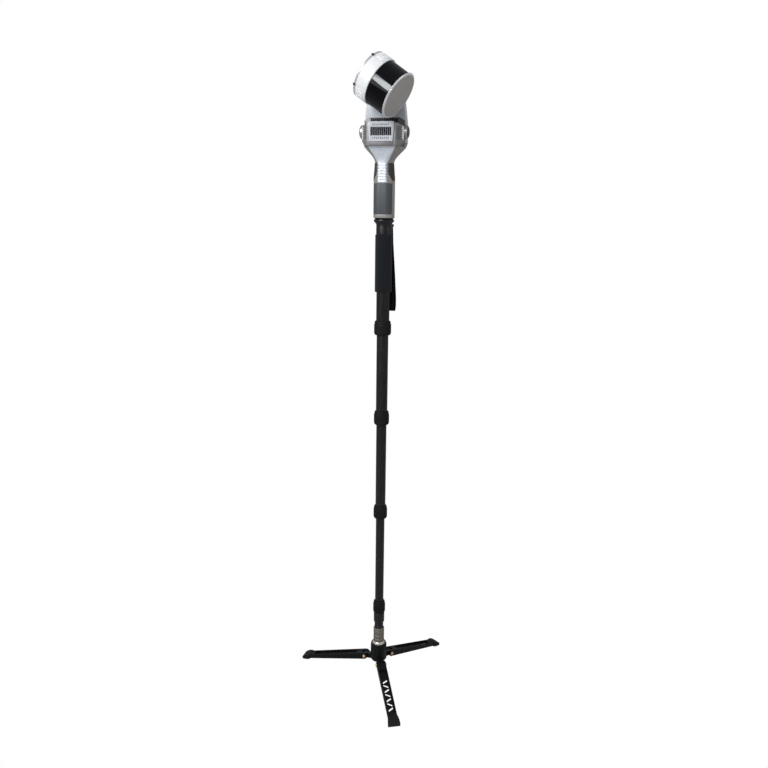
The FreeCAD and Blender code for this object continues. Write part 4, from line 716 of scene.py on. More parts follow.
def add_prism(work: BMesh, outline: Points, low: float, high: float, place: Matrix) -> None:
    """Add a straight extrusion of a closed outline.

    Args:
        work: The bmesh.
        outline: Points as (x, y) in the prism's frame.
        low: Height of one end.
        high: Height of the other end.
        place: Matrix from the prism's frame.
    """
    bottom = [work.verts.new(place @ Vector((x, y, low))) for x, y in outline]
    top = [work.verts.new(place @ Vector((x, y, high))) for x, y in outline]
    work.faces.new(bottom[::-1])
    work.faces.new(top)
    for step in range(len(outline)):
        after = (step + 1) % len(outline)
        work.faces.new((bottom[step], bottom[after], top[after], top[step]))


def touches(edge: bmesh.types.BMEdge, held: set[bmesh.types.BMVert]) -> bool:
    """Say whether a face beside an edge has one of the held corners."""
    return any(vertex in held for face in edge.link_faces for vertex in face.verts)


def soften_edges(work: BMesh, width: float, segments: int, held: set[bmesh.types.BMVert]) -> None:
    """Bevel every edge that turns more than the sharp angle, apart from those beside held corners.

    Args:
        work: The bmesh.
        width: How wide the rounding is, in metres.
        segments: Faces across the rounding.
        held: The corners whose faces stay as they are.
    """
    edges = [edge for edge in work.edges if len(edge.link_faces) == 2 and edge.calc_face_angle(0) > SHARP
             and not touches(edge, held)]
    bmesh.ops.bevel(work, geom=edges, offset=width, offset_type="OFFSET", segments=segments,
                    profile=0.5, affect="EDGES", clamp_overlap=True)


def softened(name: str, node: str, look: Look, width: float, segments: int = 2,
             keep: Callable[[Vector], bool] | None = None) -> Piece:
    """Replace a CAD node with a copy of its shape whose edges are rounded over.

    Args:
        name: The piece's name.
        node: The CAD node.
        look: The finish it shows.
        width: How wide the rounding is, in metres.
        segments: Faces across the rounding.
        keep: Takes a corner's position, and says whether the faces at it stay as they are.

    Returns:
        The new object.
    """
    same_spot, flat = 2e-6, math.radians(0.8)
    work = bmesh.new()
    work.from_mesh(frame["nodes"][node].data)
    bmesh.ops.remove_doubles(work, verts=work.verts, dist=same_spot)
    held = {vertex for vertex in work.verts if keep and keep(vertex.co)}
    bmesh.ops.dissolve_limit(work, angle_limit=flat,
                             verts=[vertex for vertex in work.verts if vertex not in held],
                             edges=[edge for edge in work.edges if not touches(edge, held)])
    soften_edges(work, width, segments, held)
    return make_piece(name, work, look, body_of_node(node), (node,))


def paint_region(piece: Piece, look: Look, across: Span, up: Span, deep: Span = (-FAR, FAR)) -> None:
    """Give the faces inside a box another finish, cutting the mesh along the box's sides.

    Args:
        piece: The piece to paint.
        look: The finish inside the box.
        across: Lowest and highest x.
        up: Lowest and highest z.
        deep: Lowest and highest y.
    """
    work = bmesh.new()
    work.from_mesh(piece.data)
    for axis, span in ((0, across), (1, deep), (2, up)):
        for level in span:
            spot, normal = [0, 0, 0], [0, 0, 0]
            spot[axis], normal[axis] = level, 1
            bmesh.ops.bisect_plane(work, geom=work.verts[:] + work.edges[:] + work.faces[:], dist=1e-6,
                                   plane_co=spot, plane_no=normal)
    index = len(piece.data.materials)
    for face in work.faces:
        centre = face.calc_center_median()
        if all(low < centre[axis] < high for axis, (low, high) in enumerate((across, deep, up))):
            face.material_index = index
    work.to_mesh(piece.data)
    work.free()
    piece.data.materials.append(BOOK.get(look))


def paint_where(piece: Piece, look: Look, test: Callable[[Vector], bool]) -> None:
    """Give the faces that a test picks another finish.

    Args:
        piece: The piece to paint.
        look: The finish that they get.
        test: Takes a face's middle, and says whether it is picked.
    """
    index = len(piece.data.materials)
    for polygon in piece.data.polygons:
        if test(polygon.center):
            polygon.material_index = index
    piece.data.materials.append(BOOK.get(look))


def node_spot(node: str) -> tuple[Vector, float, float, float]:
    """Return where an upright CAD node stands.

    Args:
        node: The CAD node.

    Returns:
        Its middle, its half width and its lowest and highest heights.
    """
    low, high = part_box(node)
    middle = (low + high) / 2
    return middle, (high.x - low.x) / 2, low.z, high.z


def upright(middle: Vector) -> Matrix:
    """Return the matrix of a lathe frame that stands on the floor below a point."""
    return Matrix.Translation((middle.x, middle.y, 0.0))


def frame_of(origin: Sequence[float], forward: Sequence[float], side: Sequence[float]) -> Matrix:
    """Return the matrix whose Z runs forward and whose Y is as near as can be to a side direction.

    Args:
        origin: Where the frame's origin lies.
        forward: The direction of its Z.
        side: The direction that its Y comes near to.

    Returns:
        The matrix.
    """
    axis_z = Vector(forward).normalized()
    axis_y = Vector(side)
    axis_y = (axis_y - axis_z * axis_y.dot(axis_z)).normalized()
    axis_x = axis_y.cross(axis_z)
    rotation = Matrix((axis_x, axis_y, axis_z)).transposed().to_4x4()
    return Matrix.Translation(Vector(origin)) @ rotation


# ------------------------------------------------------------------ studio
@dataclass
class Studio:
    """Camera, lights, floor and background.

    Attributes:
        pole: Where the pole's axis meets the floor.
        top: The height of the object.
        camera_offset: Where the camera stands, from there.
        turn: How far the camera turns about the vertical, in degrees.
        pitch: How far it looks down, in degrees.
        roll: How far it leans about its own axis, in degrees.
        lens: Its focal length, in millimetres on a 36 mm sensor.
        ambient: Strength of the world's soft light.
        floor_half: Half the side of the floor.
        floor_grey: How pale the floor is where light and reflections meet it.
    """

    pole: Vector
    top: float
    camera_offset: tuple[float, float, float] = (0.3408, -1.7259, 1.2217)
    turn: float = 11.0
    pitch: float = 12.962
    roll: float = 0.757
    lens: float = 33.75
    ambient: float = 0.44
    floor_half: float = 30
    floor_grey: float = 0.62

    def build(self) -> None:
        """Add everything that the object stands in."""
        self._camera()
        self._floor()
        self._world()
        self._lights()
        scene = bpy.context.scene
        scene.view_settings.view_transform = "Standard"
        scene.view_settings.look = "None"

    def _camera(self) -> None:
        """Add the camera at the object's usual viewing angle."""
        data = bpy.data.cameras.new("camera")
        data.lens = self.lens
        data.sensor_width = 36
        data.clip_start = 0.05
        camera = bpy.data.objects.new("camera", data)
        bpy.context.scene.collection.objects.link(camera)
        camera.matrix_world = (
            Matrix.Translation(self.pole + Vector(self.camera_offset))
            @ Matrix.Rotation(math.radians(self.turn), 4, "Z")
            @ Matrix.Rotation(math.radians(90 - self.pitch), 4, "X")
            @ Matrix.Rotation(math.radians(self.roll), 4, "Z"))
        bpy.context.scene.camera = camera

    @staticmethod
    def _white_to_camera(tree: Tree, lit: Node, kind: str, output: str) -> None:
        """Show plain white to the camera, and a lit shader to every other ray.

        Args:
            tree: The node tree of a material or a world.
            lit: The lit shader.
            kind: Type of the node that gives the white.
            output: Name of the tree's output node.
        """
        kit = NodeKit(tree)
        white = kit.add(kind, Strength=1.0)
        white.inputs["Color"].default_value = WHITE
        path = kit.add("ShaderNodeLightPath")
        mix = kit.add("ShaderNodeMixShader")
        kit.link(path, "Is Camera Ray", mix, 0)
        kit.link(lit, 0, mix, 1)
        kit.link(white, 0, mix, 2)
        kit.link(mix, 0, tree.nodes[output], "Surface")

    def _floor(self) -> None:
        """Add the plain floor."""
        work = bmesh.new()
        bmesh.ops.create_grid(work, x_segments=1, y_segments=1, size=self.floor_half)
        mesh = bpy.data.meshes.new("floor")
        work.to_mesh(mesh)
        work.free()
        floor = bpy.data.objects.new("floor", mesh)
        bpy.context.scene.collection.objects.link(floor)
        material = bpy.data.materials.new("floor")
        material.use_nodes = True
        shader = material.node_tree.nodes["Principled BSDF"]
        shader.inputs["Base Color"].default_value = (self.floor_grey, self.floor_grey, self.floor_grey, 1)
        shader.inputs["Roughness"].default_value = 0.9
        shader.inputs["Specular IOR Level"].default_value = 0.1
        self._white_to_camera(material.node_tree, shader, "ShaderNodeEmission", "Material Output")
        mesh.materials.append(material)

    def _world(self) -> None:
        """Light the scene softly from all sides."""
        world = bpy.data.worlds.new("studio")
        bpy.context.scene.world = world
        world.use_nodes = True
        soft = world.node_tree.nodes["Background"]
        soft.inputs["Color"].default_value = (0.93, 0.96, 1.0, 1)
        soft.inputs["Strength"].default_value = self.ambient
        self._white_to_camera(world.node_tree, soft, "ShaderNodeBackground", "World Output")

    def _lights(self) -> None:
        """Add the softboxes, of which the streak shows in reflections alone."""
        head = self.pole + Vector((0, 0, self.top - 0.06))
        middle = self.pole + Vector((0, 0, 0.9))
        upper_left = Vector((-0.44, -0.83, 0.34))
        self._area("key", head + upper_left * 2.2, head, (0.5, 0.9), 23, (0.98, 0.99, 1.0))
        streak = self._area("streak", head + upper_left * 2.1, head, (0.85, 0.8), 37, (0.86, 0.94, 1.0))
        streak.visible_diffuse = False
        self._area("front", middle + Vector((-1.0, -2.1, 0.9)), middle, (1.3, 1.6), 15, (1, 1, 1))
        self._area("right", middle + Vector((2.2, -0.4, 0.7)), middle, (0.8, 1.6), 6, (1.0, 0.95, 0.88))
        self._area("back", middle + Vector((-0.6, 2.0, 1.1)), middle, (1.2, 1.2), 8, (0.94, 0.97, 1.0))

    @staticmethod
    def _area(name: str, spot: Vector, target: Vector, sides: Span, power: float,
              color: tuple[float, float, float]) -> bpy.types.Object:
        """Add one rectangular softbox that faces a target.

        Args:
            name: The lamp's name.
            spot: Where it hangs.
            target: What it faces.
            sides: Its width and height.
            power: Its power, in watts.
            color: Its colour.

        Returns:
            The lamp.
        """
        data = bpy.data.lights.new(name, "AREA")
        data.shape = "RECTANGLE"
        data.size, data.size_y = sides
        data.energy = power
        data.color = color
        lamp = bpy.data.objects.new(name, data)
        bpy.context.scene.collection.objects.link(lamp)
        facing = (spot - target).to_track_quat("Z", "Y").to_matrix().to_4x4()
        lamp.matrix_world = Matrix.Translation(spot) @ facing
        return lamp


# ------------------------------------------------------------------ the pole
@dataclass
class Pole:
    """Tubes, twist locks and the stepped fitting at the lower end.

    Attributes:
        flutes: Shallow flutes round each twist lock.
        flute_depth: How deep they are.
        wall: Wall of a carbon tube.
        ease: Rounding of a tube's ends.
        lock_gap: Gap between a twist lock and the tubes in it.
    """

    flutes: int = 30
    flute_depth: float = 0.42 * MM
    wall: float = 1.2 * MM
    ease: float = 0.35 * MM
    lock_gap: float = 0.3 * MM

    def build(self) -> None:
        """Build every piece of the pole."""
        for section in range(1, 6):
            self._tube(section)
        for section in range(1, 5):
            self._lock(section)
        self._fitting()

    def _tube(self, section: int) -> None:
        """Build one carbon tube with eased ends.

        Args:
            section: The tube's number, from the top.
        """
        node = f"tube_{section}"
        middle, radius, low, high = node_spot(node)
        inner = radius - self.wall
        profile = soft_corners([(inner, low), (radius, low), (radius, high), (inner, high)], self.ease)
        work = bmesh.new()
        add_lathe(work, profile, upright(middle))
        make_piece(f"carbon_tube_{section}", work, Look.CARBON, body_of_node(node), (node,))

    def _lock(self, section: int) -> None:
        """Build one twist lock: a fluted rubber barrel between two plain lips.

        Args:
            section: The number of the tube that it ends, from the top.
        """
        node = f"twist_lock_{section}"
        middle, radius, low, high = node_spot(node)
        _, upper, _, _ = node_spot(f"tube_{section}")
        _, lower, _, _ = node_spot(f"tube_{section + 1}")
        gap = self.lock_gap
        profile = soft_corners([
            (lower + gap, low), (radius - 3.4 * MM, low), (radius - 1.2 * MM, low + 1.6 * MM),
            (radius, low + 5.5 * MM), (radius, high - 10 * MM), (radius - 0.5 * MM, high - 7.2 * MM),
            (radius - 1.5 * MM, high - 6.6 * MM), (radius - 1.5 * MM, high - 5.4 * MM),
            (radius - 1.0 * MM, high - 4.6 * MM), (radius - 1.6 * MM, high - 1.6 * MM),
            (radius - 3.2 * MM, high), (upper + gap, high), (upper + gap, low + 4 * MM),
            (lower + gap, low + 4 * MM)], 1.0 * MM)
        # Extra rings down the barrel carry the flutes.
        rings = 14
        dense = []
        for index, point in enumerate(profile):
            dense.append(point)
            after = profile[(index + 1) % len(profile)]
            if abs(point[1] - after[1]) > 8 * MM and min(point[0], after[0]) > radius - 1 * MM:
                for step in range(1, rings):
                    share = step / rings
                    dense.append((point[0] + (after[0] - point[0]) * share,
                                  point[1] + (after[1] - point[1]) * share))
        start, end = low + 5.5 * MM, high - 9 * MM

        def fluted(wide: float, height: float, angle: float) -> float:
            """Press the barrel's flutes in, fading out at both ends.

            Args:
                wide: The plain radius.
                height: The height of the point.
                angle: Its angle round the pole.

            Returns:
                The radius with the flute pressed in.
            """
            if wide < radius - 0.8 * MM or not start < height < end:
                return wide
            share = (height - start) / (end - start)
            fade = min(1.0, share * 6, (1 - share) * 6)
            wave = 0.5 - 0.5 * math.cos(self.flutes * angle)
            return wide - self.flute_depth * fade * wave ** 4

        work = bmesh.new()
        add_lathe(work, dense, upright(middle), self.flutes * 8, fluted)
        make_piece(f"lock_barrel_{section}", work, Look.LOCK, body_of_node(node), (node,))

    @staticmethod
    def _fitting() -> None:
        """Build the stepped fitting at the lower end of the pole."""
        middle, radius, low, high = node_spot("end_fitting")
        _, tube, _, _ = node_spot("tube_5")
        step = low + 16.5 * MM
        neck = radius - 2.4 * MM
        bore = tube + 0.1 * MM
        stem, stem_top, tube_end = 9.3 * MM, low + 19 * MM, low + 26 * MM
        profile = soft_corners([
            (0, stem_top), (stem, stem_top), (stem, low), (neck, low), (neck, low + 5 * MM),
            (neck - 0.6 * MM, low + 5.6 * MM), (neck - 0.6 * MM, low + 6.8 * MM), (neck, low + 7.4 * MM),
            (neck, step), (radius - 1.6 * MM, step + 0.3 * MM), (radius, step + 3 * MM),
            (radius, high - 3.4 * MM), (radius - 1.4 * MM, high), (bore, high), (bore, tube_end),
            (0, tube_end)], 0.5 * MM)
        work = bmesh.new()
        add_lathe(work, profile, upright(middle))
        make_piece("stepped_fitting", work, Look.FITTING, body_of_node("end_fitting"), ("end_fitting",), True)


@dataclass
class Base:
    """Hub, ball, ribbed collar, bolts, legs and feet.

    Attributes:
        hub_axis: Where the pole's axis meets the floor.
        collar_rings: Grooves turned round the lock collar.
        slot_run: Where a leg's row of slots starts and ends, from the pole's axis.
        slot_side: How far the slots reach to either side of the leg's middle.
    """

    hub_axis: Vector
    collar_rings: int = 3
    slot_run: Span = (88 * MM, 185 * MM)
    slot_side: float = 6.1 * MM

    def build(self) -> None:
        """Build every piece of the base."""
        softened("hub_shell", "hub_body", Look.HUB, 0.6 * MM, 3)
        self._ball()
        self._collar()
        for letter in "abc":
            self._leg(letter)
            softened(f"foot_boot_{letter}", f"foot_pad_{letter}", Look.FOOT, 1.6 * MM, 4)
        self._bolts()

    def _leg(self, letter: str) -> None:
        """Build one leg, whose web stays crisp round its row of slots.

        Args:
            letter: The leg's letter.
        """
        hinge = Vector(joint_of(f"leg_{letter}_fold")["pos_m"])
        out = Vector((hinge.x - self.hub_axis.x, hinge.y - self.hub_axis.y, 0)).normalized()

        def at_slot(spot: Vector) -> bool:
            """Say whether a corner belongs to a slot.

            Args:
                spot: Where the corner is.

            Returns:
                Whether it does.
            """
            start, end = self.slot_run
            reach = (spot - self.hub_axis).dot(out)
            side = abs((spot - self.hub_axis).dot(Vector((-out.y, out.x, 0))))
            return start < reach < end and side < self.slot_side

        softened(f"leg_arm_{letter}", f"leg_{letter}", Look.LEG, 0.7 * MM, 3, at_slot)

    @staticmethod
    def _ball() -> None:
        """Build the polished ball and its stem."""
        middle, radius, _, high = node_spot("ball_stem")
        centre = joint_of("ball_tilt")["pos_m"][2]
        stem = 9.2 * MM
        steps = 25
        profile = [(0, centre - radius)]
        for step in range(1, steps):
            angle = -math.pi / 2 + math.pi * step / steps
            if radius * math.cos(angle) < stem and angle > 0:
                break
            profile.append((radius * math.cos(angle), centre + radius * math.sin(angle)))
        profile += [(stem, centre + math.sqrt(radius ** 2 - stem ** 2)), (stem, high - 0.6 * MM),
                    (stem - 0.6 * MM, high), (0, high)]
        work = bmesh.new()
        add_lathe(work, profile, upright(middle), 96)
        make_piece("polished_ball", work, Look.BALL, body_of_node("ball_stem"), ("ball_stem",), True)

    def _collar(self) -> None:
        """Build the ribbed lock collar with its turned rings."""
        middle, radius, low, high = node_spot("lock_collar")
        bore = 9.5 * MM
        pitch = 11.6 * MM
        outline = [(bore, low + radius - bore), (radius, low)]
        for ring in range(self.collar_rings):
            groove = low + (ring + 1) * pitch - 1.7 * MM
            outline += [(radius, groove - 1.9 * MM), (radius - 1.4 * MM, groove - 0.8 * MM),
                        (radius - 1.4 * MM, groove + 0.8 * MM), (radius, groove + 1.9 * MM)]
        outline += [(radius, high - 1.2 * MM), (radius - 1.2 * MM, high), (bore, high)]
        work = bmesh.new()
        add_lathe(work, soft_corners(outline, 0.8 * MM), upright(middle), 96)
        make_piece("ribbed_collar", work, Look.COLLAR, body_of_node("lock_collar"), ("lock_collar",), True)

    @staticmethod
    def _bolts() -> None:
        """Build the three hinge bolts, each with two domed heads that have a six-sided socket."""
        half, head, shank, tall = 12.05 * MM, 4.5 * MM, 2.5 * MM, 2.6 * MM
        socket, mouth, deep, dome, crisp = 1.7 * MM, 1.9 * MM, 1.3 * MM, 1.1 * MM, 0.1 * MM
        crown = head - 0.9 * MM
        outline = soft_corners([
            (0, -half - tall + deep), (socket, -half - tall + deep), (mouth, -half - tall, crisp),
            (crown, -half - tall), (head, -half - tall + dome), (head, -half), (shank, -half),
            (shank, half), (head, half), (head, half + tall - dome), (crown, half + tall),
            (mouth, half + tall, crisp), (socket, half + tall - deep), (0, half + tall - deep)],
            0.45 * MM)

        def six_sided(wide: float, height: float, angle: float) -> float:
            """Turn the socket's round wall into a six-sided one.

            Args:
                wide: The round radius.
                height: The height of the point along the bolt.
                angle: Its angle round the bolt.

            Returns:
                The six-sided radius.
            """
            if wide > 2.1 * MM or wide < 1.2 * MM or abs(height) < half:
                return wide
            slice_angle = (angle % (math.pi / 3)) - math.pi / 6
            return wide * math.cos(math.pi / 6) / math.cos(slice_angle)

        work = bmesh.new()
        for letter in "abc":
            joint = joint_of(f"leg_{letter}_fold")
            add_lathe(work, outline, frame_of(joint["pos_m"], joint["axis"], (0, 0, 1)), 48, six_sided)
        make_piece("bronze_bolts", work, Look.BOLT, body_of_node("hinge_bolts"), ("hinge_bolts",), True)


@dataclass
class PoleTop:
    """Foam grip, neck with its flange, and the wrist strap.

    Attributes:
        strap_width: Width of the webbing.
        strap_thick: Thickness of the webbing.
        strap_skin: Thickness that the webbing's route leaves room for.
        strap_belly: How far the loop's belly stands out.
        strap_tuck: How far the loop's tail tucks in below the foam.
    """

    strap_width: float = 19.8 * MM
    strap_thick: float = 1.5 * MM
    strap_skin: float = 1.7 * MM
    strap_belly: float = 9 * MM
    strap_tuck: float = 2.6 * MM

    def build(self) -> None:
        """Build every piece of the pole's top."""
        self._foam()
        self._neck()
        self._strap()

    @staticmethod
    def _foam() -> None:
        """Build the foam sleeve: rolled ends and a surface that isn't quite even."""
        middle, radius, low, high = node_spot("foam_grip")
        _, tube, _, _ = node_spot("tube_1")
        # The sleeve runs a little past its solid at both ends.
        low, high = low - 3.5 * MM, high + 2.8 * MM
        rows = 90
        outline = [(tube + 0.15 * MM, low + 0.8 * MM), (tube + 1.5 * MM, low)]
        roll = 2.2 * MM
        for step in range(7):
            angle = -math.pi / 2 + math.pi / 2 * step / 6
            outline.append((radius - roll + roll * math.cos(angle), low + roll + roll * math.sin(angle)))
        for step in range(1, rows):
            outline.append((radius, low + roll + (high - low - 2 * roll) * step / rows))
        for step in range(7):
            angle = math.pi / 2 * step / 6
            outline.append((radius - roll + roll * math.cos(angle), high - roll + roll * math.sin(angle)))
        outline += [(tube + 1.5 * MM, high), (tube + 0.15 * MM, high - 0.8 * MM)]

        def worn(wide: float, height: float, angle: float) -> float:
            """Let the sleeve sink a little where hands press it.

            Args:
                wide: The plain radius.
                height: The height of the point.
                angle: Its angle round the pole.

            Returns:
                The worn radius.
            """
            if wide < radius - 2.5 * MM:
                return wide
            share = (height - low) / (high - low)
            swell = 0.5 + 0.5 * math.sin(2.3 * angle + 5 * share) * math.sin(7.1 * share + angle)
            return wide - 0.16 * MM * swell

        work = bmesh.new()
        add_lathe(work, outline, upright(middle), 96, worn)
        make_piece("foam_sleeve", work, Look.FOAM, body_of_node("foam_grip"), ("foam_grip",))

    @staticmethod
    def _neck() -> None:
        """Build the neck with its stepped flange."""
        middle, radius, low, high = node_spot("pole_neck")
        _, tube, _, _ = node_spot("tube_1")
        waist = 18.4 * MM
        flange = high - 12.2 * MM
        screw, screw_end, tube_end = 4.9 * MM, high - 14 * MM, high - 17 * MM
        profile = soft_corners([
            (tube + 0.1 * MM, low), (waist - 1.5 * MM, low), (waist, low + 4 * MM), (waist, flange - 7 * MM),
            (waist - 0.5 * MM, flange - 6.6 * MM), (waist - 0.5 * MM, flange - 5.8 * MM),
            (waist, flange - 5.4 * MM), (waist, flange - 2 * MM), (waist + 1.2 * MM, flange, 1 * MM),
            (radius - 3.6 * MM, flange + 1.4 * MM, 2 * MM), (radius, flange + 5.2 * MM, 3 * MM),
            (radius, high - 3.6 * MM, 3 * MM), (radius - 3.0 * MM, high, 2 * MM), (screw, high),
            (screw, screw_end), (0, screw_end), (0, tube_end), (tube + 0.1 * MM, tube_end)], 0.45 * MM)
        work = bmesh.new()
        add_lathe(work, profile, upright(middle), 96)
        make_piece("neck_barrel", work, Look.NECK, body_of_node("pole_neck"), ("pole_neck",), True)

    @staticmethod
    def _strap_place() -> tuple[Matrix, float]:
        """Return the strap's own frame, and how far its bar is from the pole's axis.

        Returns:
            The matrix of a frame whose X runs out from the pole to the bar, whose Y runs along the
            bar and whose Z runs along the webbing, and the distance.
        """
        joint = joint_of("strap_swing")
        pin = Vector(joint["pos_m"])
        tube, _, _, _ = node_spot("tube_1")
        out = Vector((pin.x - tube.x, pin.y - tube.y, 0)).normalized()
        side = -Vector(joint["axis"]).normalized()
        rotation = Matrix((out, side, out.cross(side))).transposed().to_4x4()
        origin = Vector((tube.x, tube.y, pin.z))
        return Matrix.Translation(origin) @ rotation, (pin - origin).length

    def _route(self, reach: float, length: float) -> list[Span]:
        """Return the loop's middle line as (out, up) points in the strap's own frame.

        Args:
            reach: Distance from the pole's axis to the bar.
            length: How far the loop hangs below the bar.

        Returns:
            The points, evenly spaced round the loop.
        """
        _, foam, foam_end, _ = node_spot("foam_grip")
        bar = joint_of("strap_swing")["pos_m"][2]
        skin, belly, tuck = self.strap_skin, self.strap_belly, self.strap_tuck
        eye = 1.8 * MM
        near = foam + 0.3 * MM + skin / 2
        corners = [
            (reach - eye - skin / 2, eye * 0.35, 1 * MM), (reach - eye - skin / 2, -eye - skin / 2, 8 * MM),
            (near, -length * 0.1, 30 * MM), (near, foam_end - bar - 4.5 * MM, 6 * MM),
            (near - tuck, -length * 0.9025, 8 * MM), (near - tuck + skin * 0.95, -length * 0.965, 4 * MM),
            (near - skin / 2 + belly * 0.225, -length + skin / 2, 3 * MM),
            (near - skin / 2 + belly * 0.75, -length + skin / 2, 4 * MM),
            (near + belly, -length * 0.9475, 8 * MM), (near + belly + skin, -length * 0.86, 40 * MM),
            (near + belly * 0.8 + skin, -length * 0.6, 60 * MM),
            (reach + eye + skin / 2, -length * 0.2, 40 * MM), (reach + eye + skin / 2, eye * 0.35, 1.4 * MM),
            (reach + eye * 0.35, eye + skin / 2, 1.2 * MM),
            (reach - eye * 0.35, eye + skin / 2, 1.2 * MM)]
        return even_loop(soft_corners(corners, 2 * MM, steps=7), 1.6 * MM)

    def _strap(self) -> None:
        """Build the webbing loop as one flat woven band with soft edges."""
        place, reach = self._strap_place()
        back = place.inverted()
        heights = [(back @ vertex.co).z for vertex in frame["nodes"]["wrist_strap"].data.vertices]
        route = self._route(reach, -min(heights))
        half_width = self.strap_width / 2
        work = bmesh.new()
        uv = work.loops.layers.uv.verify()
        edge = self.strap_thick / 2
        flat, rim, slope = 2 * half_width - 2.4 * MM, half_width - 0.5 * MM, edge * 0.85
        shares = [step / 6 for step in range(7)]
        across = [(-half_width, 0.0), (-rim, slope)]
        across += [(-half_width + 1.2 * MM + share * flat, edge) for share in shares]
        across += [(rim, slope), (half_width, 0.0), (rim, -slope)]
        across += [(half_width - 1.2 * MM - share * flat, -edge) for share in shares]
        across += [(-rim, -slope)]
        rings = []
        count = len(route)
        for index, point in enumerate(route):
            tangent = Vector(route[(index + 1) % count]) - Vector(route[index - 1])
            normal = Vector((tangent.y, -tangent.x)).normalized()
            ring = []
            for side, lift in across:
                spot = Vector((point[0] + normal.x * lift, side, point[1] + normal.y * lift))
                ring.append(work.verts.new(place @ spot))
            rings.append(ring)
        run = 0.0
        for index in range(count):
            ring, following = rings[index], rings[(index + 1) % count]
            length = (Vector(route[(index + 1) % count]) - Vector(route[index])).length
            for step in range(len(across)):
                after = (step + 1) % len(across)
                face = work.faces.new((ring[step], ring[after], following[after], following[step]))
                first, second = across[step][0] + half_width, across[after][0] + half_width
                spots = ((first, run), (second, run), (second, run + length), (first, run + length))
                for loop, spot in zip(face.loops, spots):
                    loop[uv].uv = spot
            run += length
        make_piece("strap_webbing", work, Look.WEBBING, body_of_node("wrist_strap"), ("wrist_strap",))


